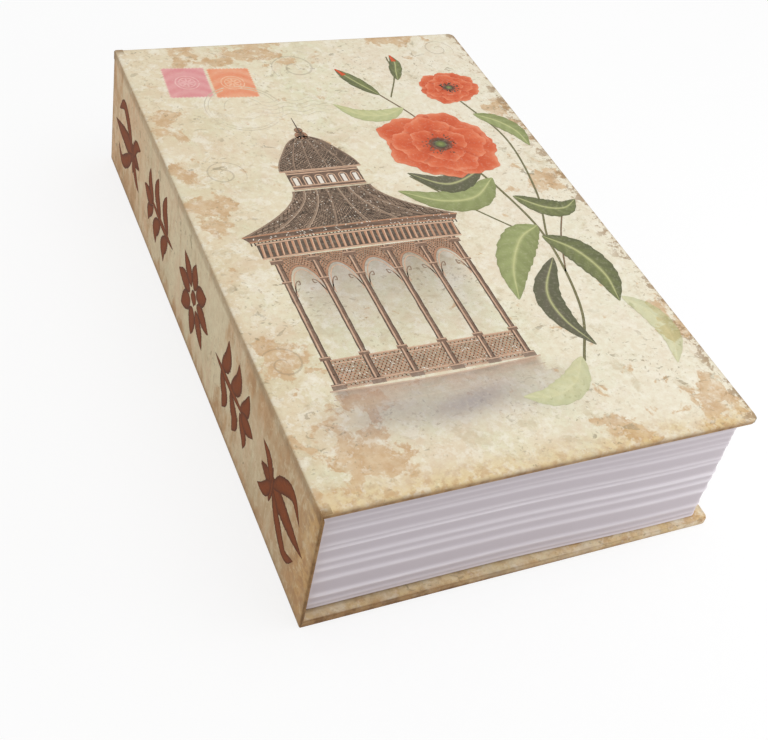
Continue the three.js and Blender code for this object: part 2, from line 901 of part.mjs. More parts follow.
// Slider behind the lock that lets the owner set a new number.
function resetSlider() {
  const x = lockX + sliderOffset;
  const y = sliderY;
  const padTopZ = floorOuterZ - seatGap;
  const stem = block(
    x - sliderStem / 2,
    x + sliderStem / 2,
    y - sliderStem / 2,
    y + sliderStem / 2,
    padTopZ - sliderPadHeight / 2,
    floorInnerZ + housingFloor,
  );
  const pad = block(
    x - sliderPadWidth / 2,
    x + sliderPadWidth / 2,
    y - sliderPadLength / 2,
    y + sliderPadLength / 2,
    padTopZ - sliderPadHeight,
    padTopZ,
  );
  piece("reset_slider", join(stem, pad), blackPlastic);
}

cover("back", spineX + paper, 0, 1);
cover("front", spineX + creaseGap, bookThickness, -1);
spine();
pageBlock();
steelBox();
latchLedge();
hingePins();
door();
lockPlate();
lockHousing();
numberWheels();
fenceBar();
detentSpring();
knob();
spindle();
latchArm();
screws();
resetSlider();

export default safe;
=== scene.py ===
import json
from functools import reduce
import bmesh
import bpy
import numpy as np
from mathutils import Matrix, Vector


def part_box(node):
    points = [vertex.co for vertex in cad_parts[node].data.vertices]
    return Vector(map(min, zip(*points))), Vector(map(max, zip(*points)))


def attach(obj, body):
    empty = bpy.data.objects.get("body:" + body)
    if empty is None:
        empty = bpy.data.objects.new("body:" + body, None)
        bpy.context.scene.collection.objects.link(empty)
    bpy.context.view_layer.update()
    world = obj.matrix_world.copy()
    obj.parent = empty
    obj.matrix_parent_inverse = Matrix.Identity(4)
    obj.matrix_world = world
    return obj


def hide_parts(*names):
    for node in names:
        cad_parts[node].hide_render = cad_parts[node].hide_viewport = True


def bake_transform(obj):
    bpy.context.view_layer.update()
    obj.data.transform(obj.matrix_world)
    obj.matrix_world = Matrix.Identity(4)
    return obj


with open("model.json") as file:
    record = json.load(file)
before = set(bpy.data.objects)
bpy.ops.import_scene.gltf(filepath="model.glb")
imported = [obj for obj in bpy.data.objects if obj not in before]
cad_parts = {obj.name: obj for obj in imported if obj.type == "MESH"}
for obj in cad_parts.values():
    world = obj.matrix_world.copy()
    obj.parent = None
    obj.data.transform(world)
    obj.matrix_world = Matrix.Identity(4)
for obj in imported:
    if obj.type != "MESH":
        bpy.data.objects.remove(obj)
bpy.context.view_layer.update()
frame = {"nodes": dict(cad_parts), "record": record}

mm = 0.001
rng = np.random.default_rng(11)
even, noShift = (1, 1, 1), (0, 0, 0)

# the closed book in millimetres, as packed
book = {"spineX": -75.0, "foreX": 75.0, "endY": 120.0, "topZ": 52.0, "cover": 2.3, "square": 4.0}


def rgb(code):
    # a hex colour as linear red, green, blue
    part = np.array([int(code[i:i + 2], 16) for i in (0, 2, 4)]) / 255
    return np.where(part <= 0.04045, part / 12.92, ((part + 0.055) / 1.055) ** 2.4)


def rgba(code, gain=1.0):
    return (*[float(c) * gain for c in rgb(code)], 1.0)


class Field:
    # a socket of numbers; arithmetic on it adds Math nodes
    def __init__(self, paint, socket):
        self.paint, self.socket = paint, socket

    def calc(self, operation, *values):
        return self.paint.add("ShaderNodeMath", {"operation": operation}, dict(enumerate(values)))

    def __add__(self, other):
        return self.calc("ADD", self, other)

    def __sub__(self, other):
        return self.calc("SUBTRACT", self, other)

    def __rsub__(self, other):
        return self.calc("SUBTRACT", other, self)

    def __mul__(self, other):
        return self.calc("MULTIPLY", self, other)

    def __abs__(self):
        return self.calc("ABSOLUTE", self)

    def top(self, other):
        return self.calc("MAXIMUM", self, other)

    def clear(self, low, high):
        # 0 below low, 1 above high, smooth between
        return self.paint.add(
            "ShaderNodeMapRange", {"interpolation_type": "SMOOTHSTEP"},
            {"Value": self, "From Min": low, "From Max": high, "To Min": 0.0, "To Max": 1.0})


class Paint:
    # the nodes of a material or a world; a string among the inputs is a hex colour
    def __init__(self, owner):
        owner.use_nodes = True
        self.owner, self.tree = owner, owner.node_tree
        self.tree.nodes.clear()

    def add(self, kind, settings=None, inputs=None, output=0):
        node = self.tree.nodes.new(kind)
        for key, value in (settings or {}).items():
            setattr(node, key, value)
        for key, value in (inputs or {}).items():
            if isinstance(value, Field):
                self.tree.links.new(value.socket, node.inputs[key])
            else:
                node.inputs[key].default_value = rgba(value) if isinstance(value, str) else value
        return Field(self, node.outputs[output]) if len(node.outputs) else None

    def noise(self, scale, detail=3, roughness=0.5, distortion=0, shift=noShift, stretch=even):
        point = self.add("ShaderNodeTexCoord", output=3)
        place = self.add("ShaderNodeMapping", {}, {"Vector": point, "Scale": stretch, "Location": shift})
        return self.add("ShaderNodeTexNoise", {}, {"Vector": place, "Scale": scale, "Detail": detail,
                                                   "Roughness": roughness, "Distortion": distortion})

    def along(self, axis):
        # a coordinate of the point, in metres
        point = self.add("ShaderNodeTexCoord", output=3)
        return self.add("ShaderNodeSeparateXYZ", {}, {0: point}, output="XYZ".index(axis))

    def attribute(self, name, output=2):
        return self.add("ShaderNodeAttribute", {"attribute_name": name}, output=output)

    def mix(self, factor, first, second):
        return self.add("ShaderNodeMix", {"data_type": "RGBA", "blend_type": "MIX"},
                        {0: factor, 6: first, 7: second}, output=2)

    def bump(self, height, strength, distance):
        return self.add("ShaderNodeBump", {}, {"Height": height, "Strength": strength, "Distance": distance})

    def finish(self, colour, roughness, **others):
        # the shader's other inputs are named as it names them, with _ for a space
        inputs = {key.replace("_", " "): value for key, value in others.items()}
        shader = self.add("ShaderNodeBsdfPrincipled", {}, {"Base Color": colour, "Roughness": roughness, **inputs})
        self.add("ShaderNodeOutputMaterial", {}, {0: shader})
        return self.owner


def newPaint(name):
    return Paint(bpy.data.materials.new(name))


# Printed paper: pale plaster with worn patches (place and half sizes in mm), stains and pits, browned along the folds.
# The spans from low to high are metres from the book's middle or foot
coverPaper = {
    "plane": "XY", "stretch": even, "base": "efe6cb", "green": "e7e4c6", "rose": "e8d7bd", "pale": "f8f3e2",
    "tan": "dcbf99", "tanDeep": "cba67b", "smudge": "cfc3a4", "pit": "8f856c", "edge": "93734f", "edgeDark": "735437",
    "gold": "e4ca94", "goldDeep": "c79e66", "goldBand": (-0.1205, -0.107), "margin": (1.0, 2.0),
    "marginTone": "a3875f", "torn": (0.53, 0.585), "pull": 0.19, "chips": 1.0, "paintedForeLight": 0.55, "sunned": 0.45,
    "tail": (-0.2, -0.13), "tailTone": "d2b78f", "tailShare": 0.0,
    "head": (0.09, 0.12), "headTone": "dfd2b4", "headShare": 0.3,
    "patches": ((-58, -101, 16, 12), (-50, -82, 10, 5), (-66, -60, 10, 9), (-30, 112, 26, 8), (64, -110, 13, 11),
                (28, -112, 9, 6), (71, -68, 6, 12), (66, 12, 10, 9), (-69, 66, 6, 9), (46, 116, 20, 5),
                (-66, 12, 8, 12), (68, 56, 7, 9), (-68, 36, 6, 8))}
spinePaper = {
    "plane": "YZ", "stretch": (1, 1.5, 0.5), "base": "ddcfae", "green": "d3c7a6", "rose": "d9bf9e", "pale": "dccfae",
    "tan": "c6a076", "tanDeep": "ad845a", "smudge": "bfae8b", "pit": "86755a", "edge": "90704a", "edgeDark": "745636",
    "gold": "c9a066", "goldDeep": "a4784a", "goldBand": (-0.1205, -0.1), "margin": (0.0468, 0.0512),
    "marginTone": "8d7350", "torn": (0.45, 0.68), "pull": 0.16, "chips": 0.0, "paintedForeLight": 0.0, "sunned": 0.0,
    "tail": (-0.122, -0.02), "tailTone": "a67746", "tailShare": 0.8,
    "head": (0.02, 0.11), "headTone": "d4a276", "headShare": 0.65,
    "patches": ((-112, 24, 9, 22), (-70, 45, 26, 6), (92, 6, 30, 8), (0, 0, 120, 6), (112, 34, 8, 14),
                (-40, 8, 14, 6))}
# what both papers share
paperTones = {"paintedForeLight": "f4f0df", "paintedForeLightSpan": (-0.02, 0.055), "sun": "dcc39c", "sunSpan": (-0.076, -0.03),
              "rimSpan": (0.064, 0.0748), "roughness": 0.62, "specular": 0.12}
# noise of each coat: scale, detail, roughness, distortion, offset, stretch (None for the look's own), low and high
paperNoise = {
    "green": (30, 5, 0.6, 0, noShift, None, 0.42, 0.64),
    "rosy": (52, 6, 0.66, 0, (0.3, 0.1, 0), None, 0.46, 0.66),
    "sunned": (34, 6, 0.62, 0.2, (0.5, 0.7, 0.2), even, 0.36, 0.6),
    "streak": (70, 6, 0.65, 0.3, (0.6, 0.1, 0.2), None, 0.34, 0.62),
    "flakes": (150, 8, 0.72, 0.2, (0.7, 0.2, 0.4), None, 0.52, 0.59),
    "smudge": (110, 7, 0.7, 0.3, (0.9, 0.4, 0.1), None, 0.55, 0.66),
    "bare": (105, 6, 0.62, 0.3, (0.13, 0.52, 0.9), None, 0, 1),
    "tan": (170, 6, 0.7, 0, noShift, even, 0.36, 0.64),
    "thin": (260, 4, 0.6, 0, noShift, even, 0.3, 0.6),
    "gilt": (330, 5, 0.65, 0, noShift, even, 0.45, 0.6),
    "band": (95, 6, 0.65, 0, (0.2, 0.9, 0.1), even, 0.34, 0.6),
    "brush": (120, 5, 0.7, 0, (0.5, 0.1, 0.3), (1, 0.35, 1.6), 0.3, 0.65),
    "chips": (190, 7, 0.7, 0.3, (0.5, 0.3, 0.2), even, 0.6, 0.64),
    "cluster": (38, 3, 0.5, 0, (0, 0.6, 0), even, 0.42, 0.6),
    "pits": (290, 3, 0.55, 0.7, (0.4, 0, 0.1), (0.7, 1.1, 1), 0.62, 0.68),
    "specks": (760, 3, 0.55, 0.3, (0.1, 0, 0.3), even, 0.6, 0.7),
    "grain": (420, 7, 0.75, 0, (0.2, 0.2, 0.6), even, 0.34, 0.66),
    "lit": (300, 6, 0.7, 0, (0.8, 0.3, 0.5), even, 0.52, 0.64),
    "frayed": (260, 5, 0.65, 0, noShift, even, 0.4, 0.62),
    "worn": (120, 5, 0.6, 0, noShift, even, 0.25, 0.7),
    "ink": (900, 4, 0.6, 0, noShift, even, 0.25, 0.55)}


def spots(paint, look, name, more=None, span=None):
    # a coat's noise, with more added to it, cleared between its limits
    *settings, stretch, low, high = paperNoise[name]
    field = paint.noise(*settings, stretch or look["stretch"])
    return (field if more is None else field + more).clear(*(span or (low, high)))


def printedPaper(paint, look):
    # coats from the plain sheet up to the frayed folds; returns colour and height
    spot = lambda *args: spots(paint, look, *args)
    u, v = (paint.along(axis) for axis in look["plane"])
    x, y, z = (paint.along(axis) for axis in "XYZ")
    inner = [1 - (abs(u - a * mm) * (1 / (halfA * mm))).top(abs(v - b * mm) * (1 / (halfB * mm)))
             for a, b, halfA, halfB in look["patches"]]
    within = reduce(Field.top, inner + [-0.5])  # over 0 inside a patch, whose rim the noise then tears
    bare = spot("bare", within * look["pull"], look["torn"])
    flakes, cluster, streak = spot("flakes"), spot("cluster"), spot("streak") * 0.6 + 0.4
    pits = spot("pits") * cluster
    rim = x.clear(*paperTones["rimSpan"])
    coats = (
        (spot("green"), look["green"]),
        (spot("rosy") * 0.8, look["rose"]),
        # painted light: the cover's paper pales towards the fore-edge
        (x.clear(*paperTones["paintedForeLightSpan"]) * look["paintedForeLight"], paperTones["paintedForeLight"]),
        ((1 - x.clear(*paperTones["sunSpan"])) * spot("sunned") * look["sunned"], paperTones["sun"]),
        ((1 - y.clear(*look["tail"])) * streak * look["tailShare"], look["tailTone"]),
        (y.clear(*look["head"]) * streak * look["headShare"], look["headTone"]),
        (flakes * 0.6, look["pale"]),
        (spot("smudge") * 0.5, look["smudge"]),
        (bare * (spot("thin") * 0.3 + 0.6), paint.mix(spot("tan"), look["tan"], look["tanDeep"])),
        ((1 - y.clear(*look["goldBand"])) * (spot("band") * 0.6 + 0.25),
         paint.mix(spot("gilt"), look["gold"], look["goldDeep"])),
        (z.clear(*look["margin"]) * (spot("brush") * 0.6 + 0.3) * 0.7, look["marginTone"]),
        (spot("chips", rim * 0.11) * look["chips"] * rim * 0.75, look["edge"]),
        (pits * 0.62, look["pit"]),
        (spot("specks") * (cluster * 0.5 + 0.3) * 0.6, look["pit"]),
        (spot("grain") * 0.24, look["tanDeep"]),
        (spot("lit") * 0.4, look["pale"]),
        # worn edges, and the painted shadow along the page block's foot
        (paint.attribute("wearAndShade") * (spot("worn") * 0.16 + 0.86),
         paint.mix(spot("frayed"), look["edge"], look["edgeDark"])))
    colour = look["base"]
    for share, tone in coats:
        colour = paint.mix(share, colour, tone)
    return colour, flakes * 0.4 - pits * 0.8 - bare * 0.5 + paint.noise(2600, 2) * 0.2


def paperMaterial(name, look, inked=False, second=None):
    # the turn attribute goes over to a second paper, and the ink attributes lay a print on it
    paint = newPaint(name)
    colour, height = printedPaper(paint, look)
    if second:
        colour = paint.mix(paint.attribute("turn"), colour, printedPaper(paint, second)[0])
    if inked:
        grain = spots(paint, look, "ink") * 0.16 + 0.86
        colour = paint.mix(paint.attribute("inkStrength") * grain, colour, paint.attribute("inkColour", 0))
    return paint.finish(colour, paperTones["roughness"], Specular_IOR_Level=paperTones["specular"],
                        Normal=paint.bump(height, 0.3, 0.0001))


# The page block's plastic, lighter on the ridges and darker in the hollows by painted light and shade, with a painted
# shadow at the foot and painted shade under the cover; its sheet lines are noises squeezed along z
pageLook = {
    "ridge": "e2dce1", "hollowShade": "b6adb2", "foot": "4d4038", "line": "b9b0b8", "lineShare": 0.3, "roughness": 0.5,
    "lines": (60, 3, 0.6, 0, noShift, (1, 1, 42)), "fine": (120, 2, 0.5, 0, noShift, (1, 1, 70))}


def pageMaterial():
    # the attribute paints shade in the hollows and, over 1, a painted shadow at the foot
    paint, look = newPaint("page_plastic"), pageLook
    pageShade, lines, fine = paint.attribute("pageShade"), paint.noise(*look["lines"]), paint.noise(*look["fine"])
    colour = paint.mix(pageShade, look["ridge"], look["hollowShade"])
    colour = paint.mix((pageShade - 1.0).clear(0.05, 0.8), colour, look["foot"])
    colour = paint.mix(lines.clear(0.35, 0.65) * look["lineShare"], colour, look["line"])
    return paint.finish(colour, look["roughness"], Normal=paint.bump(lines * 0.7 + fine * 0.3, 0.35, 0.0002))


# Plain surfaces: two tones mixed by a cloud between two limits, roughness and what the cloud adds to it, a second
# noise as bump with its strength and distance, and other inputs of the shader
plainLooks = {
    "black_paint": {"tones": ("242529", "2e3035"), "cloud": (45, 4, 0.6), "span": (0.4, 0.7), "rough": (0.27, 0.1),
                    "relief": (900, 2, 0.5), "bump": (0.12, 0.0001),
                    "others": {"Coat_Weight": 0.35, "Coat_Roughness": 0.12}},
    "plain_steel": {"tones": ("b9babd", "9d9ea3"), "cloud": (160, 3), "span": (0.4, 0.65), "rough": (0.26, 0.14),
                    "relief": (900, 3, 0.6, 0, noShift, (1, 0.06, 1)), "bump": (0.15, 0.00005),
                    "others": {"Metallic": 1.0}},
    "grey_board": {"tones": ("8f8573", "a79c88"), "cloud": (700, 5, 0.7), "span": (0.3, 0.7), "rough": (0.9, 0),
                   "relief": (700, 5, 0.7), "bump": (0.5, 0.0001)},
    "lining_paper": {"tones": ("efe9dc", "e4dccb"), "cloud": (90, 4, 0.6), "span": (0.35, 0.7), "rough": (0.8, 0),
                     "relief": (1500, 3, 0.6, 0, noShift, (1, 0.4, 1)), "bump": (0.3, 0.00005)},
    "white_print": {"tones": ("f4f4f2", "dcdcda"), "cloud": (1800, 3), "span": (0.3, 0.7), "rough": (0.5, 0)}}


def plainMaterial(name):
    # the cloud goes from one tone to the other, and roughens where it does
    look, paint = plainLooks[name], newPaint(name)
    cloud = paint.noise(*look["cloud"]).clear(*look["span"])
    roughness, gain = look["rough"]
    others = dict(look.get("others", {}))
    if "relief" in look:
        others["Normal"] = paint.bump(paint.noise(*look["relief"]), *look["bump"])
    return paint.finish(paint.mix(cloud, *look["tones"]), cloud * gain + roughness if gain else roughness, **others)


# Moulded plastics: colour, roughness and strength of the grain
plastics = {"black_plastic": ("0d0d0f", 0.3, 0.2), "matt_black_plastic": ("151517", 0.48, 0.5)}


def plasticMaterial(name):
    # a little lighter and rougher here and there, with a fine spark
    paint, (code, roughness, grain) = newPaint(name), plastics[name]
    tone = paint.mix(paint.noise(120, 3).clear(0.35, 0.7), code, rgba(code, 1.35))
    return paint.finish(tone, paint.noise(300, 3) * 0.12 + (roughness - 0.06),
                        Normal=paint.bump(paint.noise(2400, 2, 0.5), grain, 0.00006))


print("materials")
coverSkin = paperMaterial("cover_paper", coverPaper)
spineSkin = paperMaterial("spine_paper_print", spinePaper)
coverInk = paperMaterial("cover_ink", coverPaper, inked=True)
spineInk = paperMaterial("spine_ink", spinePaper, inked=True)
creaseSkin = paperMaterial("crease_paper", coverPaper, second=spinePaper)
pagePlastic = pageMaterial()
blackPaint, zinc, greyBoard, liningPaper, whitePrint = (plainMaterial(name) for name in plainLooks)
blackPlastic, darkPlastic = (plasticMaterial(name) for name in plastics)


def linked(name, data):
    thing = bpy.data.objects.new(name, data)
    bpy.context.scene.collection.objects.link(thing)
    return thing


def addPiece(mesh, material, body, replaced=(), angle=0):
    # edges sharper than the angle stay sharp, and 0 leaves the piece faceted
    mesh.materials.clear()
    mesh.materials.append(material)
    if angle:
        mesh.shade_smooth()
        mesh.set_sharp_from_angle(angle=np.radians(angle))
    piece = linked(mesh.name, mesh)
    if body:
        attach(piece, body)
    if replaced:
        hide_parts(*replaced)
    return piece


def makeMesh(name, points, faces, material, body, replaced=(), angle=0, numbers=None, colours=None, flat=None):
    # points in millimetres; numbers and colours are attributes by name
    mesh = bpy.data.meshes.new(name)
    mesh.from_pydata((np.asarray(points) * mm).tolist(), [], faces)
    for kind, field, values in (("FLOAT", "value", numbers), ("FLOAT_COLOR", "color", colours)):
        for key, rows in (values or {}).items():
            mesh.attributes.new(key, kind, "POINT").data.foreach_set(field, np.asarray(rows, np.float32).ravel())
    mesh.update()
    if flat:
        flatMap(mesh, flat)
    return addPiece(mesh, material, body, replaced, angle)


def flatMap(mesh, axes):
    # the bake's map: the points seen along the third axis, filling the square
    co = np.zeros(len(mesh.vertices) * 3)
    mesh.vertices.foreach_get("co", co)
    uv = co.reshape(-1, 3)[:, list(axes)]
    low, high = uv.min(0), uv.max(0)
    uv = 0.01 + 0.98 * (uv - low) / (high - low)
    corner = np.zeros(len(mesh.loops), np.int32)
    mesh.loops.foreach_get("vertex_index", corner)
    layer = mesh.uv_layers.new(name="OFBake")
    layer.uv.foreach_set("vector", uv[corner].astype(np.float32).ravel())


def ray(angle):
    return np.stack([np.cos(angle), np.sin(angle)], -1)


def pair(a, b):
    return np.stack([a, b], -1)


def grid(rows, cols, left=-1.0, low=0.0):
    # heights from low to 1 by places from left to 1
    return np.meshgrid(np.linspace(low, 1, rows), np.linspace(left, 1, cols), indexing="ij")


def beside(path):
    # the unit vectors to the left of a path
    way = np.gradient(path, axis=0)
    way /= np.linalg.norm(way, axis=1)[:, None]
    return pair(-way[:, 1], way[:, 0])


def ringOutline(x0, x1, y0, y1, radii, cornerSteps=8, sideSteps=10):
    # rounded rectangle, anticlockwise from its lower right corner: quarter circles joined by straight sides
    turn = np.linspace(0, np.pi / 2, cornerSteps + 1)
    corners = [(x1, y0, -1, 1), (x1, y1, -1, -1), (x0, y1, 1, -1), (x0, y0, 1, 1)]
    arcs = []
    for k, (x, y, inX, inY) in enumerate(corners):
        radius = max(radii[k], 0.02)
        angle = turn + (k - 1) * np.pi / 2
        arcs.append(pair(x + radius * (inX + np.cos(angle)), y + radius * (inY + np.sin(angle))))
    share = (np.arange(1, sideSteps) / sideSteps)[:, None]
    parts = []
    for k, arc in enumerate(arcs):
        parts += [arc, arc[-1] + (arcs[(k + 1) % 4][0] - arc[-1]) * share]
    return np.concatenate(parts)


def loft(rings, closed=False):
    # quads between rings of the same number of points; an open loft has a flat face at each end
    rings = np.array(rings)
    count, size = rings.shape[:2]
    ring = np.arange(size)
    after = (ring + 1) % size
    faces = []
    for k in range(count if closed else count - 1):
        a, b = k * size, ((k + 1) % count) * size
        faces += np.stack([a + ring, a + after, b + after, b + ring], 1).tolist()
    if not closed:
        faces += [ring[::-1].tolist(), ((count - 1) * size + ring).tolist()]
    return rings.reshape(-1, 3), faces


def level(points, z):
    return np.column_stack([points, np.full(len(points), z)])


def upright(section, y):
    # a cross-section of x and z, stood at y
    return np.stack([section[:, 0], np.full(len(section), y), section[:, 1]], 1)


# Covers: a board wrapped in printed paper that is folded over onto the inside. The rub is the wear of the outer edge,
# of the side's outer and inner half and of the inner edge, its share at the spine and at the fore-edge, and a painted
# shadow along the page block's foot
wrap = {"corner": 2.6, "edgeRound": 0.42, "paper": 0.25, "turnIn": 5.2, "steps": 5, "skin": 0.02, "free": 4}
covers = {
    "front": {"left": -74.72, "tail": -119.15, "outerZ": book["topZ"], "inward": -1, "face": 0.1, "body": "cover",
              "rubAndShadow": (0.5, 0.85, 1.0, 0.9, 1.0, 0.92, 0.0)},
    "back": {"left": -74.75, "tail": -119.98, "outerZ": 0.0, "inward": 1, "face": 0.06, "body": "case",
             "rubAndShadow": (1.0, 1.0, 0.85, 0.8, 1.3, 0.42, 0.65)}}


def coverWrap(side):
    # rings of the outline: flat face, rounded edge, side, rounded edge, turn-in, and back inside the paper;
    # each has an inset, a depth from the outer face and its wear, which near the page block's foot is painted shadow
    look = covers[side]
    full, rim, paper, skin, face = book["cover"], wrap["edgeRound"], wrap["paper"], wrap["skin"], look["face"]
    turn = np.linspace(0, np.pi / 2, wrap["steps"])
    first, low, high, last, spineShare, foreShare, footShadow = look["rubAndShadow"]
    profile = [(6.0, face, 0.0), (2.6, face, 0.0), (1.2, face, 0.0), (rim + 0.15, face, 0.3 * first)]
    profile += [(rim * (1 - np.sin(t)) + skin, face + rim * (1 - np.cos(t)), first * (0.5 + 0.5 * t)) for t in turn]
    profile += [(skin, full * 0.4, low), (skin, full * 0.65, high)]
    profile += [(rim * (1 - np.cos(t)) + skin, full - rim * (1 - np.sin(t)), last) for t in turn]
    # painted shadow on the inside of the cover along the page block's foot
    profile += [(0.9, full, 0.35 * last), (1.6, full, 0.3 * last), (2.9, full, 0.3 * last + 0.06 * footShadow),
                (3.5, full, 0.7 * footShadow), (wrap["turnIn"], full, footShadow), (wrap["turnIn"], full - paper, 0.0),
                (paper + 0.1, full - paper, 0.0), (paper + 0.1, paper + face, 0.0)]
    rings, wearAndShade = [], []
    for inset, depth, worn in profile:
        radius = max(wrap["corner"] - inset, 0.05)
        # the turned-in paper meets the lining everywhere
        tailY = (look["tail"] if inset < wrap["free"] else -book["endY"]) + inset
        points = ringOutline(look["left"] + min(inset, 0.12), book["foreX"] - inset, tailY, book["endY"] - inset,
                             [radius, radius, 0.02, 0.02])
        rings.append(level(points, look["outerZ"] + look["inward"] * depth))
        wearAndShade.append(worn * np.interp(points[:, 0], [book["spineX"], book["foreX"]], [spineShare, foreShare]))
    points, faces = loft(rings)
    if look["inward"] < 0:
        faces = [face[::-1] for face in faces]
    makeMesh(side + "_cover_wrap", points, faces, coverSkin, look["body"],
             (side + "_cover_paper",), 35, {"wearAndShade": np.concatenate(wearAndShade)})


print("covers")
coverWrap("front")
coverWrap("back")

# Spine: one flat strip of board and paper, with folded ends
spine = {"face": -74.93, "inner": -73.72, "foot": 0.03, "topZ": 51.62, "pageLow": 2.33, "pageHigh": 49.38,
         "backX": -74.76, "lipX": -74.78, "round": 0.6, "middleZ": 26.0, "side": (1, 51, 26), "rows": (110, -110, 45),
         "wearAcross": ((0, 0.9, 2.4, 48, 52), (0.9, 0.5, 0, 0, 0.15)),
         "wearAlong": ((117.5, 119.2, 119.75), (0, 0.3, 1)),
         "ends": ((0.6, 119.97), (0.3, 119.87), (0.1, 119.6), (0.0, 119.2), (0.0, 118.5), (0.0, 116))}


def spineStrip():
    # the cross-section runs round the outside, and its copies along y shrink at the two ends
    s, r = spine, spine["round"]
    low = [(s["face"] + r - r * np.sin(t), s["foot"] + r - r * np.cos(t)) for t in np.linspace(0, np.pi / 2, 5)[1:]]
    side = [(s["face"], z) for z in np.linspace(*s["side"])]
    section = np.array(
        [(s["backX"], s["foot"])] + low + side +
        [(s["face"], s["topZ"]), (s["lipX"], s["topZ"]), (s["lipX"], s["pageHigh"]), (s["inner"], s["pageHigh"]),
         (s["inner"], s["pageLow"]), (s["backX"], s["pageLow"])])
    wearAcross = np.interp(section[:, 1], *s["wearAcross"])
    centre = np.array([s["face"] + r, s["middleZ"]])
    middle = [(0.0, y) for y in np.linspace(*s["rows"])]
    rings, wearAndShade = [], []
    for inset, y in [*s["ends"], *middle, *[(inset, -y) for inset, y in s["ends"][::-1]]]:
        rings.append(upright(section + np.clip(centre - section, -1, 1) * inset, y))
        wearAndShade.append(np.maximum(wearAcross, np.interp(abs(y), *s["wearAlong"])))
    points, faces = loft(rings)
    makeMesh("spine_wrap", points, faces, spineSkin, "case", ("spine_paper", "spine_board"), 35,
             {"wearAndShade": np.concatenate(wearAndShade)})


print("spine")
spineStrip()

# Crease: the same sheet of paper folding over from the spine onto the front cover
crease = {"thick": 0.03, "radius": 0.8, "lowZ": 48.2, "farX": -71.6, "outerX": -74.985, "outerZ": 51.985,
          "head": 119.95, "tail": -119.3, "rows": 61, "wearAlong": ((117, 118.4, 119.2), (0, 0.3, 0.9))}


def creaseStrip():
    # a quarter bend between an upright run on the spine and a flat run on the cover, both feathered out
    c, r, x0, z0 = crease, crease["radius"], crease["outerX"], crease["outerZ"]
    rise = [(x0 + 0.04 * (1 - s), c["lowZ"] + (z0 - r - c["lowZ"]) * s) for s in np.linspace(0, 1, 5)[:-1]]
    bend = [(x0 + r * (1 - np.cos(t)), z0 - r * (1 - np.sin(t))) for t in np.linspace(0, np.pi / 2, 9)]
    run = [(x0 + r + (c["farX"] - x0 - r) * s, z0 - 0.045 * s) for s in np.linspace(0, 1, 5)[1:]]
    outside = np.array(rise + bend + run)
    end = len(outside) - 1
    around = lambda places, values: np.interp(np.arange(end + 1), places, values)
    inside = outside - beside(outside) * (c["thick"] * around([0, 1, end - 1, end], [0.3, 1, 1, 0.3]))[:, None]
    both = lambda half: np.concatenate([half, half[::-1]])
    wearHalf = both(around([0, 5, 8, 11, end], [0.1, 0.2, 0.22, 0.1, 0]))
    turnHalf = both(around([0, 4, 11], [1, 0.92, 0]))
    section = np.concatenate([outside, inside[::-1]])
    places = np.linspace(c["head"], c["tail"], c["rows"])
    wearAndShade = [np.maximum(wearHalf, np.interp(abs(y), *c["wearAlong"])) for y in places]
    points, faces = loft([upright(section, y) for y in places])
    piece = makeMesh("spine_crease", points, [f[::-1] for f in faces], creaseSkin, None, (), 50,
                     {"wearAndShade": np.concatenate(wearAndShade), "turn": np.tile(turnHalf, len(places))})
    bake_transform(piece)


creaseStrip()


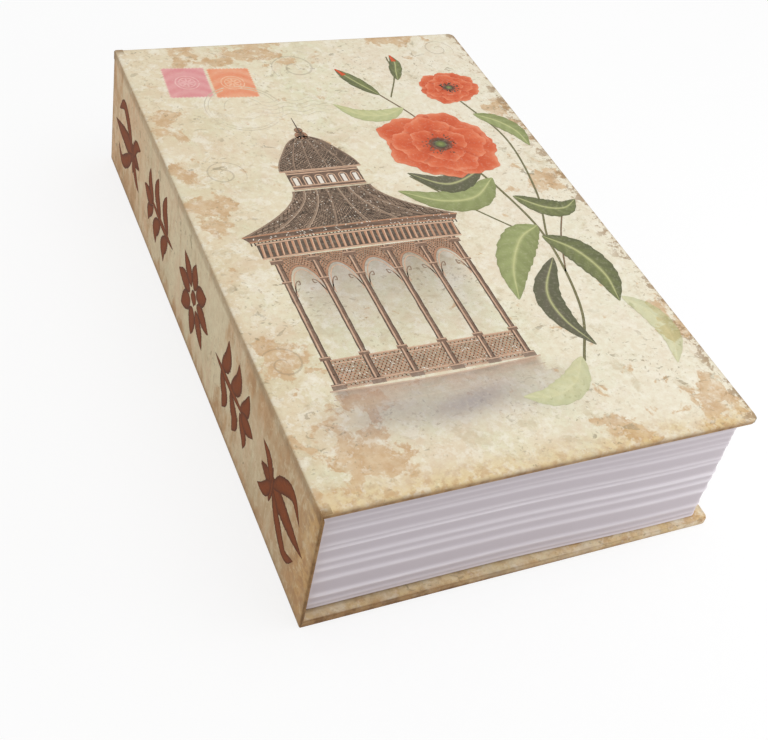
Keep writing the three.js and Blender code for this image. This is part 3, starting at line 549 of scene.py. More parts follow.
class Print:
    # gathers painted patches into one mesh; each patch becomes a thin closed slab, and higher layers lie higher.
    # Colours are names from the print's dictionary, or linear red, green, blue
    def __init__(self, axes, under, low, high, look, spineSide=False):
        self.axes, self.under, self.low, self.high, self.spineSide = axes, under, low, high, spineSide
        self.tones = {key: rgb(value) for key, value in look.items() if isinstance(value, str)}
        self.patches = []

    def tone(self, colour):
        return self.tones[colour] if isinstance(colour, str) else np.asarray(colour, float)

    def mixed(self, first, second, share):
        share = np.clip(share, 0, 1)[..., None]
        return self.tone(first) * (1 - share) + self.tone(second) * share

    def mottled(self, shape, first, second):
        # two colours mixed by soft random patches: waves of growing pitch are summed
        r, c = grid(*shape, 0.0)
        total = np.zeros(shape)
        for k in range(1, 9):
            turn = rng.uniform(0, 2 * np.pi, 3)
            total += np.sin(r * k * 9 * np.cos(turn[0]) + c * k * 9 * np.sin(turn[0]) + turn[1]) / k**0.5
        return self.mixed(first, second, 0.5 + total / 3.4)

    def store(self, a, b, colour, layer, strength, quads, turnedOver=False):
        # the faces count through the upper skin and then the same points lower down
        tint = np.broadcast_to(colour, (*a.shape, 3)).reshape(-1, 3)
        dose = np.broadcast_to(np.asarray(strength, float), a.shape).ravel()
        quads = quads[:, ::-1] if turnedOver != self.spineSide else quads
        self.patches.append((layer, np.ravel(a), np.ravel(b), np.column_stack([tint, np.ones(len(tint))]), dose, quads))

    def patch(self, a, b, colour, layer, strength=1.0):
        # a grid of points (rows, columns) in the plane of the print
        n = a.size
        index = np.arange(n).reshape(a.shape)
        skin = np.stack([index[:-1, :-1], index[:-1, 1:], index[1:, 1:], index[1:, :-1]], -1).reshape(-1, 4)
        rim = np.concatenate([index[0, :-1], index[:-1, -1], index[-1, :0:-1], index[:0:-1, 0]])
        walls = np.stack([rim, rim + n, np.roll(rim, -1) + n, np.roll(rim, -1)], 1)
        width, rise = a[:, -1] - a[:, 0], b[:, -1] - b[:, 0]
        widthUp, riseUp = a[-1] - a[0], b[-1] - b[0]
        turnedOver = width.sum() * riseUp.sum() - rise.sum() * widthUp.sum() < 0
        quads = np.concatenate([skin, skin[:, ::-1] + n, walls])
        self.store(a, b, self.tone(colour), layer, strength, quads, turnedOver)

    def bars(self, start, end, width, colour, layer, strength=1.0, jitter=0.0):
        # straight bars between pairs of points, each a flat box
        start, end = (np.asarray(points, float).reshape(-1, 2) for points in (start, end))
        count, way = len(start), end - start
        way /= np.maximum(np.linalg.norm(way, axis=1), 1e-9)[:, None]
        side = pair(-way[:, 1], way[:, 0]) * np.broadcast_to(width, count)[:, None] / 2
        corners = np.stack([start - side, end - side, end + side, start + side], 1)
        tint = np.broadcast_to(self.tone(colour), (count, 3))
        tint = np.clip(tint * (1 + jitter * rng.normal(0, 1, (count, 1))), 0, 1)
        base, n = np.arange(count)[:, None, None] * 4, count * 4
        box = np.array([[0, 1, 2, 3]]) + base
        walls = np.array([[k, k + n, (k + 1) % 4 + n, (k + 1) % 4] for k in range(4)])[None] + base
        quads = np.concatenate([box.reshape(-1, 4), (box + n).reshape(-1, 4)[:, ::-1], walls.reshape(-1, 4)])
        dose = np.repeat(np.broadcast_to(strength, count)[:, None], 4, 1)
        self.store(corners[..., 0], corners[..., 1], np.repeat(tint[:, None, :], 4, 1), layer, dose, quads)

    def ribbon(self, path, width, colour, layer, rough=0.0, across=3, edge=None, strength=1.0):
        # a strip of changing width along a path, with rough sides and darker edges
        path = np.asarray(path, float)
        v = np.linspace(-1, 1, across)
        wobble = 1 + rough * rng.normal(0, 1, (len(path), 2))
        half = np.broadcast_to(width, len(path)) / 2
        reach = half[:, None] * np.where(v < 0, wobble[:, :1], wobble[:, 1:]) * v
        at = path[:, None] + beside(path)[:, None] * reach[..., None]
        tone = self.tone(colour)
        if edge is not None:
            tone = self.mixed(tone, edge, (np.abs(v) ** 3)[None])
        grain = 1 + 0.08 * rng.normal(0, 1, (*reach.shape, 1)) * (rough > 0)
        tone = np.broadcast_to(tone, at.shape[:2] + (3,)) * grain
        dose = np.broadcast_to(strength, len(path))[:, None] * np.ones(across)
        self.patch(at[..., 0], at[..., 1], np.clip(tone, 0, 1), layer, dose)

    def piece(self, name, material, body):
        # patches go in from the lowest layer to the highest, their tops evenly spaced between low and high;
        # where a patch has no ink it dips under the paper
        self.patches.sort(key=lambda patch: patch[0])
        ranks = {layer: k for k, layer in enumerate(sorted({patch[0] for patch in self.patches}))}
        step = (self.high - self.low) / len(ranks)
        flatAxes, proud = self.axes
        points, faces, colours, doses, total = [], [], [], [], 0
        for layer, a, b, tint, dose, quads in self.patches:
            shown = np.clip(dose * 8, 0, 1)
            for drop in (0, 1.2):
                skin = np.zeros((len(a), 3))
                skin[:, list(flatAxes)] = pair(a, b)
                sunk = self.under - np.sign(step) * 0.004 * (drop > 0)
                skin[:, proud] = sunk + (self.low + step * (ranks[layer] + 1 - drop) - sunk) * shown
                points.append(skin)
                colours.append(tint)
                doses.append(dose)
            faces.append(quads + total)
            total += 2 * len(a)
        makeMesh(name, np.concatenate(points), np.concatenate(faces).tolist(), material, body,
                 numbers={"inkStrength": np.concatenate(doses)}, colours={"inkColour": np.concatenate(colours)},
                 flat=flatAxes)


def curve(points, count=40):
    # a smooth curve through control points: each run is a cubic with the neighbours' slope
    points = np.asarray(points, float)
    slope = np.gradient(points, axis=0)
    at = np.linspace(0, len(points) - 1, count)
    k = np.minimum(at.astype(int), len(points) - 2)
    t = (at - k)[:, None]
    p, q, m, n = points[k], points[k + 1], slope[k], slope[k + 1]
    return (2 * t**3 - 3 * t**2 + 1) * p + (t**3 - 2 * t**2 + t) * m + (-2 * t**3 + 3 * t**2) * q + (t**3 - t**2) * n


def arc(centre, radius, start, stop, count=30):
    return np.array(centre) + radius * ray(np.radians(np.linspace(start, stop, count)))


coverFace = ((0, 1), 2)
coverUnder = 51.896  # just under the cover's paper

# Iron garden pavilion printed on the cover: lattice, arches, roof and dome, fading into mist.
# Heights are above its foot, and the steps have half-width, low and high
pavilion = {
    "deep": "4b4038", "dark": "66564a", "mid": "876c5b", "copper": "b98b6e", "light": "d3af94", "rib": "97806d",
    "ribLight": "b9a18b", "white": "f0e8de", "mist": "968c90", "low": 51.915, "high": 51.948,
    "x": -20.0, "foot": -90.0, "columns": (-33, -20, -7, 7, 20, 33), "deck": 14, "rail": 14.4, "spring": 58,
    "crown": 71, "eaves": 76, "cornice": 84.8, "roof": 88, "lantern": 110.6, "dome": 121.6, "top": 142,
    "steps": ((43, 0, 3.6), (39.5, 3.6, 7.2), (36.5, 7.2, 14)), "mistHalf": 52, "mistLow": -16, "mistTall": 40}


def pavilionPrint():
    # a place function takes u, -1 to 1 across, and v, 0 to 1 upwards
    ink = Print(coverFace, coverUnder, pavilion["low"], pavilion["high"], pavilion)
    cx, foot = pavilion["x"], pavilion["foot"]
    storeys = ("mistLow", "deck", "rail", "spring", "crown", "eaves", "cornice", "roof", "lantern", "dome", "top")
    at = {key: foot + pavilion[key] for key in storeys}

    def region(place, rows, cols, first, second, strength, layer, fade=None):
        v, u = grid(rows, cols)
        a, b = place(u, v)
        ink.patch(a, b, ink.mottled(a.shape, first, second), layer, strength * (fade(u, v) if fade else 1.0))

    def lattice(place, across, up, width, colour, layer, jitter):
        # crossing diagonals between the nodes of a grid laid over the region
        v, u = grid(up + 1, across + 1)
        nodes = pair(*place(u, v))
        ink.bars(np.concatenate([nodes[:-1, :-1], nodes[:-1, 1:]]), np.concatenate([nodes[1:, 1:], nodes[1:, :-1]]),
                 width, colour, layer, 1.0, jitter)

    def lines(place, rows, colour, width, layer, count=30):
        # level lines across the region at the given heights
        for v in rows:
            ink.ribbon(pair(*place(np.linspace(-1, 1, count), np.full(count, float(v)))), width, colour, layer, 0.04)

    def ribs(place, sides, colour, width, layer, count=14):
        for u in sides:
            ink.ribbon(pair(*place(np.full(count, float(u)), np.linspace(0, 1, count))), width, colour, layer, 0.05)

    def glints(place, count, layer, size=(0.25, 0.8)):
        # short pale flecks strewn over the region
        u, v = rng.uniform(-0.97, 0.97, count), rng.uniform(0.03, 0.97, count)
        turn, length = rng.uniform(0, np.pi, count), rng.uniform(*size, count)
        middle, way = pair(*place(u, v)), ray(turn) * length[:, None] / 2
        ink.bars(middle - way, middle + way, rng.uniform(0.18, 0.4, count), "white", layer, rng.uniform(0.5, 1, count))

    # mist under and behind the foot, and between the columns
    wide, tall = pavilion["mistHalf"], pavilion["mistTall"]
    cloud = lambda u, v: (cx + u * wide, at["mistLow"] + v * tall)

    def mistDose(u, v):
        # slow swirls times a hump across and a bell curve of the height
        swirl = 0.66 + 0.1 * np.sin(u * 9 + 2 * np.sin(v * 7))
        return swirl * np.clip(1 - u**2 * 1.02, 0, 1) ** 1.3 * np.exp(-((v - 0.42) / 0.2) ** 2)

    region(cloud, 40, 80, "mist", "mist", 1.0, 1, mistDose)
    inside = lambda u, v: (cx + u * 33, at["deck"] + v * 61)
    region(inside, 30, 40, "dark", "mist", 0.62, 1.5,
           lambda u, v: np.clip(v * 1.15 - 0.1, 0, 1) ** 1.3 * (1 - np.abs(u) ** 8))

    # steps and platform
    for k, (half, low, high) in enumerate(pavilion["steps"]):
        step = lambda u, v: (cx + u * half, foot + low + v * (high - low) - 1.2 * (1 - u**2))
        region(step, 6, 60, "mid", "copper", 0.92, 2 + k * 0.2, lambda u, v: np.clip((1 - np.abs(u)) * 14, 0, 1))
        lines(step, (0.97,), "light", 0.55, 3)
        lines(step, (0.45,), "copper", 0.3, 3)

    # balustrade
    rail = lambda u, v: (cx + u * 34, at["rail"] + v * 12)
    region(rail, 14, 60, "dark", "mid", 0.6, 2.6)
    lattice(rail, 48, 6, 0.34, "copper", 3.4, 0.22)
    lines(rail, (0.0, 0.16, 0.86, 1.0), "light", 0.5, 3.8)
    glints(rail, 110, 4.2)

    # columns with their bases and caps
    for x in pavilion["columns"]:
        low, high = at["deck"], at["eaves"]
        path = pair(np.full(30, cx + x), np.linspace(low, high, 30))
        ink.ribbon(path, 2.3, "mid", 4.2, 0.05, 5, "deep")
        ink.ribbon(path + [-0.35, 0], 0.55, "light", 4.6, 0.12)
        for y, wide, tall in ((low + 1.2, 4.6, 2.4), (low + 13.4, 3.6, 1.6), (high - 12.5, 3.4, 1.0),
                              (high - 2, 4.4, 2.2)):
            for up, thick, colour, layer in ((0, tall, "mid", 4.8), (tall * 0.3, 0.4, "light", 5.1)):
                ink.bars([cx + x - wide / 2, y + up], [cx + x + wide / 2, y + up], thick, colour, layer)

    # arches between the columns, with pierced corners
    spring, crown = at["spring"], at["crown"]
    bow = lambda u: spring + (crown - spring) * np.sqrt(np.clip(1 - u**2, 0, 1))
    for left, right in zip(pavilion["columns"][:-1], pavilion["columns"][1:]):
        half, mid = (right - left) / 2 - 0.6, cx + (left + right) / 2
        corner = lambda u, v: (mid + u * half, bow(u) + v * (at["eaves"] - bow(u)))
        region(corner, 6, 36, "dark", "mid", 0.8, 3.0)
        lattice(corner, 14, 3, 0.3, "copper", 3.6, 0.2)
        across = np.sin(np.linspace(-1, 1, 34) * np.pi / 2)
        ink.ribbon(pair(mid + across * half, bow(across)), 0.95, "copper", 4.0, 0.05, 5, "mid")
        ink.ribbon(pair(mid + across * half * 0.84, bow(across) - 2.0), 0.4, "light", 4.0, 0.08)
        for side in (-1, 1):
            curl = [(mid + side * half * out, spring + up)
                    for out, up in ((0.93, -1), (0.66, 4.2), (0.4, 5.6), (0.42, 3.8), (0.56, 3.9))]
            ink.ribbon(curve(curl, 22), 0.42, "mid", 4.0, 0.08, strength=0.9)

    # frieze with slanting brackets, cornice and eaves
    frieze = lambda u, v: (cx + u * 37, at["eaves"] + v * 8.5 + 0.9 * (1 - u**2))
    region(frieze, 10, 70, "deep", "dark", 0.95, 4.4)
    slots = np.linspace(-0.97, 0.97, 33)
    for wide, colour, lean, layer in ((0.95, "copper", 0, 4.8), (0.34, "light", 0.012, 5.1)):
        start, end = pair(*frieze(slots, np.full(33, 0.1))), pair(*frieze(slots + lean, np.full(33, 0.86)))
        ink.bars(start, end + [0.5, 0], wide, colour, layer, 1.0, 0.15)
    lines(frieze, (0.03, 0.92), "light", 0.75, 5.4, 50)
    cornice = lambda u, v: (cx + u * (38.5 + 2.2 * v), at["cornice"] + v * 3.4 + 1.1 * (1 - u**2))
    region(cornice, 6, 70, "dark", "mid", 1.0, 4.6)
    lines(cornice, (0.12, 0.95), "copper", 0.7, 5.4, 50)
    glints(cornice, 70, 5.8)
    teeth = pair(*cornice(np.linspace(-1, 1, 60), np.zeros(60)))
    ink.bars(teeth + [0, 0.1], teeth - [0, 1.5], 0.45, "deep", 5.2)

    # skirt of the roof: its half-width falls as a power of the height
    skirt = lambda u, v: (cx + u * (15 + 25.5 * (1 - v) ** 1.75), at["roof"] + v * 22 + 1.6 * (1 - u**2) * (1 - v))
    region(skirt, 30, 60, "deep", "dark", 1.0, 4.2)
    lattice(skirt, 34, 13, 0.36, "rib", 4.6, 0.3)
    ribs(skirt, (-0.99, -0.72, -0.42, -0.14, 0.14, 0.42, 0.72, 0.99), "rib", 0.7, 5.2)
    ribs(skirt, (-0.7, -0.4, 0.16, 0.44), "ribLight", 0.28, 5.5)
    glints(skirt, 90, 5.8, (0.2, 0.55))

    # lantern with small arches
    lantern = lambda u, v: (cx + u * 14, at["lantern"] + v * 11)
    region(lantern, 12, 30, "dark", "mid", 1.0, 4.8)
    lines(lantern, (0.04, 0.2, 0.86, 0.97), "light", 0.6, 5.6)
    sill, head = foot + 113, foot + 117
    for x in np.linspace(-11.6, 11.6, 6):
        window = np.concatenate([[(cx + x + 1.5, sill)], arc((cx + x, head), 1.5, 0, 180, 14), [(cx + x - 1.5, sill)]])
        ink.ribbon(window, 0.45, "light", 5.4, 0.05)
        ink.bars([cx + x, sill + 0.2], [cx + x, head + 0.6], 1.5, "white", 5.2, 0.8)

    # dome: the half-width swells and then closes in to a point
    dome = lambda u, v: (cx + u * (15.5 * (1 - v) ** 0.62 * (1 + 0.42 * v) - 2.1 * np.sin(np.pi * v) ** 2 * v + 0.5),
                         at["dome"] + v * 21)
    region(dome, 36, 40, "deep", "dark", 1.0, 4.8)
    lattice(dome, 18, 14, 0.3, "rib", 5.0, 0.3)
    ribs(dome, (-0.98, -0.6, -0.2, 0.2, 0.6, 0.98), "rib", 0.55, 5.4, 30)
    glints(dome, 45, 5.8, (0.2, 0.5))
    lines(dome, (0.01,), "light", 0.8, 5.6)

    # finial
    top = at["top"]
    for y, size in ((top + 1.2, 2.6), (top + 4.6, 1.7)):
        v, u = grid(13, 13)
        ball = ray(u * np.pi) * (size * v)[..., None]
        ink.patch(cx + ball[..., 0], y + ball[..., 1], ink.mottled(u.shape, "deep", "copper"), 5.4)
    ink.ribbon(pair(np.full(20, cx), np.linspace(top, top + 13, 20)), np.linspace(0.9, 0.25, 20), "dark", 5.6, 0.05)

    # everything but the mist sinks into it towards the foot
    for k, (layer, a, b, tint, dose, quads) in enumerate(ink.patches):
        share = np.clip((b - foot - 1) / 17, 0, 1)
        share = share**2 * (3 - 2 * share)
        if layer > 1 and share.min() < 1:
            tint = np.column_stack([ink.mixed("mist", tint[:, :3], share), tint[:, 3]])
            u, v = (a - cx) / pavilion["mistHalf"], (b - at["mistLow"]) / pavilion["mistTall"]
            ink.patches[k] = (layer, a, b, tint, mistDose(u, v) * (1 - share) + dose * share, quads)
    ink.piece("cover_pavilion_print", coverInk, "cover")


print("cover print")
pavilionPrint()

# Poppies, leaves and stems printed on the cover. Stems: points, width, colour. Leaves: points, width, layer, light and
# dark side, number of teeth, strength of the ink. Blooms: middle, radius, turn, layer, squash, lean
poppies = {
    "red": "d9603c", "deep": "b64529", "glow": "ee8a62", "rim": "f3a684", "heart": "4a3d30", "pod": "8f9a58",
    "light": "a9b17a", "mid": "878d5d", "dark": "63654b", "grey": "706b5b", "pale": "d0d096", "stem": "807a57",
    "stemBrown": "8a6f58", "low": 51.95, "high": 51.993,
    "stems": (([(36, 34), (44, 8), (48, -22), (42, -58), (30, -82)], 0.95, "stem"),
              ([(54, 70), (62, 40), (58, 6), (49, -20)], 0.8, "stem"),
              ([(14, 92), (22, 76), (30, 60), (34, 44)], 0.7, "stemBrown"),
              ([(36, 104), (34, 90), (26, 74)], 0.6, "stem"),
              ([(62, -8), (54, -22), (46, -40)], 0.6, "stemBrown"),
              ([(12, 22), (26, 2), (44, -20)], 0.7, "stem")),
    "leaves": (([(44, 16), (32, 6), (18, 6), (4, 14)], 13, 6.3, "light", "mid"),
               ([(42, 22), (30, 16), (22, 16), (12, 24)], 11, 6.5, "grey", "dark", 7),
               ([(47, 4), (56, -4), (64, -6), (71, -2)], 10, 6.3, "mid", "dark"),
               ([(48, -14), (38, -20), (28, -34), (22, -50)], 14, 6.4, "light", "mid", 10),
               ([(47, -20), (56, -30), (60, -44), (58, -58)], 13, 6.5, "mid", "dark", 10),
               ([(45, -32), (34, -48), (33, -62), (38, -76)], 10, 6.6, "grey", "dark", 8),
               ([(56, 58), (64, 52), (69, 44), (70, 34)], 9, 6.4, "light", "mid", 7),
               ([(28, 66), (18, 62), (8, 64), (0, 72)], 8, 6.4, "pale", "light", 8, 0.85),
               ([(30, -80), (22, -90), (12, -94), (2, -92)], 10, 6.2, "pale", "light", 8, 0.6),
               ([(60, -56), (66, -66), (67, -78), (62, -90)], 9, 6.2, "pale", "light", 8, 0.55)),
    "buds": (([(34, 86), (36, 93), (38, 99), (38, 105)], 5.5), ([(22, 76), (17, 84), (13, 91), (10, 97)], 6.5)),
    "blooms": (((54, 78), 14, 15, 6.8, 0.8, 0.3), ((33, 40), 24, 40, 6.9, 0.9, -0.2))}


def poppyPrint():
    ink = Print(coverFace, coverUnder, poppies["low"], poppies["high"], poppies)

    def petal(centre, radius, facing, spread, layer, shade, squash, lean):
        # radius times a wavy rim; the angle opens with the distance from the heart
        u, v = grid(26, 48, low=0.03)
        wave = rng.uniform(0, 6, 4)
        angle = np.radians(facing) + v * np.radians(spread) * (0.6 + 0.4 * u**0.5)
        edge = 1 + 0.05 * np.sin(5 * v + wave[0]) + 0.035 * np.sin(11 * v + wave[1]) + 0.014 * np.sin(29 * v + wave[2])
        reach = radius * u * edge * (1 - 0.16 * v**2)
        x, y = reach * np.cos(angle), reach * np.sin(angle) * squash
        a = centre[0] + x * np.cos(lean) - y * np.sin(lean)
        b = centre[1] + x * np.sin(lean) + y * np.cos(lean)
        crease = 0.5 + 0.5 * np.sin(26 * v + 3 * np.sin(3 * u + wave[3]) + 4 * u)
        fold = 0.5 + 0.5 * np.sin(7 * v + 5 * u + wave[1])
        colour = ink.mixed("red", "glow", u**1.4 * (0.25 + 0.5 * fold))
        colour = ink.mixed(colour, "deep", (1 - u) ** 1.3 * 0.75 + crease * 0.22 * (1 - u * 0.6) + shade)
        colour = ink.mixed(colour, "rim", np.clip((u - 0.9) * 6, 0, 0.55) * (0.4 + 0.6 * fold))
        colour = ink.mixed(colour, "deep", np.clip((np.abs(v) - 0.86) * 4, 0, 0.5) * (u > 0.15))
        ink.patch(a, b, colour, layer)

    def bloom(centre, radius, turn, layer, squash, lean):
        # three whorls of petals, the heart, the pod and the stamens
        for count, size, start, spread, up, shade in ((4, 1, 20, 58, 0, 0.12), (4, 0.8, 65, 50, 0.4, 0.0),
                                                      (3, 0.5, 0, 56, 0.8, 0.06)):
            for k in range(count):
                petal(centre, radius * size, turn + 360 // count * k + start, spread, layer + up + 0.05 * k, shade,
                      squash, lean)
        v, u = grid(10, 30, low=0.02)
        heart = radius * 0.2
        a, b = centre[0] + heart * v * np.cos(u * np.pi), centre[1] + heart * v * np.sin(u * np.pi) * squash
        ink.patch(a, b, ink.mixed("heart", "deep", v - 0.55), layer + 1.1, 0.95)
        ink.patch(centre[0] + (a - centre[0]) * 0.5, centre[1] + (b - centre[1]) * 0.5, ink.mixed("pod", "dark", v),
                  layer + 1.3)
        turns = rng.uniform(0, 2 * np.pi, 46)
        far = radius * rng.uniform(0.16, 0.3, 46)
        root = np.array(centre) + ray(turns) * far[:, None] * (1, squash)
        ink.bars(root, root + ray(turns) * 0.7, 0.5, "heart", layer + 1.5, 0.9)

    def leaf(path, width, layer, light, dark, teeth=9, strength=1.0):
        # half-width is a sine hump along the midrib with a saw edge; veins are stripes slanting from it
        rows = 38
        midrib = curve(path, rows)
        u, v = grid(rows, 23)
        saw = 1 + 0.11 * ((u * teeth) % 1) - 0.05
        half = width / 2 * np.maximum(np.sin(np.pi * u**0.85), 0.02) ** 0.8 * saw
        at = midrib[:, None] + beside(midrib)[:, None] * half[..., None] * v[..., None]
        vein = 0.5 + 0.5 * np.sin(2 * np.pi * (u * teeth * 0.8 - np.abs(v) * 0.9))
        colour = ink.mixed(light, dark, 0.35 + 0.45 * (v > 0) * 0.6 + 0.3 * vein - 0.25 * (1 - np.abs(v)))
        colour = ink.mixed(colour, "pale", np.exp(-(v / 0.09) ** 2) * 0.8)
        colour = ink.mixed(colour, dark, np.clip((np.abs(v) - 0.85) * 5, 0, 0.6))
        ink.patch(at[..., 0], at[..., 1], colour, layer, strength)

    for path, width, colour in poppies["stems"]:
        ink.ribbon(curve(path, 60), width, colour, 6.0, 0.03, 5, "dark")
    for row in poppies["leaves"]:
        leaf(*row)
    for path, wide in poppies["buds"]:
        leaf(path, wide, 6.7, "mid", "dark", 4)
        ink.ribbon(curve(path, 12)[-4:], np.linspace(2.4, 0.7, 4), "red", 6.9, 0.02, 5, "deep")
    for row in poppies["blooms"]:
        bloom(*row)
    ink.piece("cover_poppy_print", coverInk, "cover")


poppyPrint()

# Two blank gummed labels and some plain rings and scrolls. Rings: radius, strength. Scrolls: place, hand, size
labels = {
    "pink": "e08a92", "pinkPale": "efb3b4", "coral": "ec8a62", "coralPale": "f6b893", "line": "8a7a68",
    "low": 51.903, "high": 51.913, "x": -62.0, "y": 84.0, "wide": 17.0, "tall": 21.0, "apart": 0.9, "lower": 0.8,
    "turn": -4, "tooth": 0.28, "teeth": (12, 15), "badge": (8.5, 10.5), "badgeRings": (4.6, 3.2),
    "rings": ((15, 0.34), (13.6, 0.26), (7.5, 0.24)), "ringsAt": (-36, 74),
    "waves": 5, "scrolls": ((-6, 100, 1, 1.0), (-66, -62, 1, 0.8), (-56, 34, -1, 0.8), (62, 108, -1, 0.7))}


def labelPrint():
    ink = Print(coverFace, coverUnder, labels["low"], labels["high"], labels)
    turn = np.radians(labels["turn"])
    for k, name in enumerate(("pink", "coral")):
        pale = name + "Pale"

        def at(x, y):
            # millimetres on the label to the cover
            x, y = x + k * (labels["wide"] + labels["apart"]), y - k * labels["lower"]
            return labels["x"] + x * np.cos(turn) - y * np.sin(turn), labels["y"] + x * np.sin(turn) + y * np.cos(turn)

        # a rectangle whose sides ripple like a torn row of holes
        v, u = grid(66, 54, 0.0)
        teethAcross, teethUp = labels["teeth"]
        x = labels["wide"] * u + labels["tooth"] * np.cos(2 * np.pi * v * teethUp) * (2 * u - 1) ** 9
        y = labels["tall"] * v + labels["tooth"] * np.cos(2 * np.pi * u * teethAcross) * (2 * v - 1) ** 9
        frameShare = np.clip((0.5 - np.maximum(np.abs(u - 0.5), np.abs(v - 0.5))) * 30, 0, 1)
        ripple = 0.5 + 0.5 * np.sin(18 * (u - 0.5) ** 2 + 22 * v + 3 * k)
        ink.patch(*at(x, y), ink.mixed(pale, name, frameShare * (0.6 + 0.4 * ripple)), 2,
                  0.85 * np.clip(0.4 + frameShare, 0, 1))
        badge = np.array(at(*labels["badge"]))
        for radius in labels["badgeRings"]:
            ink.ribbon(arc(badge, radius, 0, 352, 40), 0.5, pale, 3, 0.05, strength=0.8)
        for way in ray(np.radians(np.arange(0, 360, 45))):
            ink.ribbon(badge + way * np.linspace(0.4, 3, 8)[:, None], 0.9 * np.sin(np.linspace(0.25, 2.9, 8)), pale, 3,
                       strength=0.85)
    for radius, dose in labels["rings"]:
        ink.ribbon(arc(labels["ringsAt"], radius, 10, 356, 90), 0.4, "line", 2.4, 0.2,
                   strength=dose * (0.6 + 0.4 * np.sin(np.linspace(0, 19, 90))))
    run = np.linspace(-14, 26, 40)
    for k in range(labels["waves"]):
        ink.ribbon(pair(run - 22, 67 + k * 2.6 + 0.9 * np.sin(run * 0.55)), 0.35, "line", 2.2, 0.2,
                   strength=0.26 * np.sin(np.linspace(0.2, 3, 40)))
    turn = np.linspace(0.4, 10, 70)
    for x, y, flip, size in labels["scrolls"]:
        path = (x, y) + ray(turn) * (size * (1.0 + 0.95 * turn))[:, None] * (flip, 1)
        ink.ribbon(path, 0.7 * size * np.sin(np.linspace(0.1, 3.05, 70)) + 0.15, "line", 2.2, 0.15, strength=0.3)
    ink.piece("cover_label_print", coverInk, "cover")


labelPrint()

# Five brushed leaf ornaments down the spine. A stroke is its control points, in millimetres from the ornament's middle,
# its width, and 2 if it is mirrored
ornaments = {
    "rust": "7e3d10", "dark": "4c2509", "under": -74.926, "low": -74.936, "high": -74.972, "middle": 25.5,
    "at": (94, 47, 0, -47, -94),
    "lily": (((-18, 0), (19, 0), 9, 1), ((-8, 0), (-1, 8), (7, 13), (14, 8), 6, 2), ((-9, -8), (-9, 8), 4, 1),
             ((-9, 0), (-13, 7), (-19, 10), 5, 2)),
    "sprig": (((-20, 0), (14, 0), 3.4, 1), ((-13, 1), (-8, 8), (-9, 15), 7, 2), ((-3, 1), (3, 8), (2, 15), 7, 2),
              ((7, 1), (12, 6), (13, 12), 6, 2), ((8, 0), (20, 0), 7, 1)),
    "rosette": (((4, 0), (18, 0), 7.5, 1), ((-4, 0), (-18, 0), 7.5, 1), ((0, 4), (0, 16), 7.5, 2),
                ((3, 3), (13, 12), 7.5, 2), ((-3, 3), (-13, 12), 7.5, 2), ((-3, 0), (3, 0), 6.5, 1)),
    "order": (("lily", 1), ("sprig", 1), ("rosette", 1), ("sprig", -1), ("lily", -1))}


def spinePrint():
    # a stroke's width is a lopsided hump along its run
    ink = Print(((1, 2), 0), ornaments["under"], ornaments["low"], ornaments["high"], ornaments, spineSide=True)
    along = np.linspace(0, 1, 60)
    hump = np.sin(np.pi * np.clip(along, 0.02, 0.985) ** 0.8) ** 0.8
    tips = ink.mixed("rust", "dark", np.abs(along - 0.5) * 2.6 - 0.75)[:, None, :]
    for y, (kind, facing) in zip(ornaments["at"], ornaments["order"]):
        layer = 1.0
        for *points, width, sides in ornaments[kind]:
            for side in (1, -1)[:sides]:
                path = curve(points, 60) if len(points) > 2 else np.linspace(points[0], points[1], 60)
                path = path * (facing, side) + (y, ornaments["middle"])
                path[:, 1] += 0.5 * np.sin(along * 5 + y)
                layer += 0.1
                ink.ribbon(path, width * hump, tips, layer, 0.04, 9, "dark", 1.15 + 0.1 * np.sin(along * 9 + y))
    ink.piece("spine_ornament_print", spineInk, "case")


spinePrint()

# Page block: ridges (height, strength, half-width) between broad shallow hollows. The hole has its sides and corners
pages = {
    "depth": 0.42, "proud": 0.35, "undercut": 0.55, "bulge": 1.3, "corner": 3.2, "stray": 0.1, "levels": 190,
    "smoothEnd": 2.6, "waist": 0.9, "bulgeFrom": -10, "bulgeRun": 65, "lowGap": 0.03, "highGap": 0.32,
    "hole": (-67.8, 65.3, -110.3, 110.3), "holeCorner": 2.3,
    "shadow": 0.75, "ridges": (
        (3.2, 0.85, 0.7), (5.1, 0.6, 0.8), (9.0, 1.0, 1.1), (16.6, 1.0, 1.15), (21.7, 0.95, 1.0), (25.4, 1.0, 1.1),
        (31.0, 0.85, 0.75), (33.0, 0.7, 0.8), (38.6, 0.7, 0.9), (40.6, 0.35, 0.6), (43.4, 0.4, 0.6), (46.2, 0.4, 0.7),
        (48.3, 0.5, 0.7))}


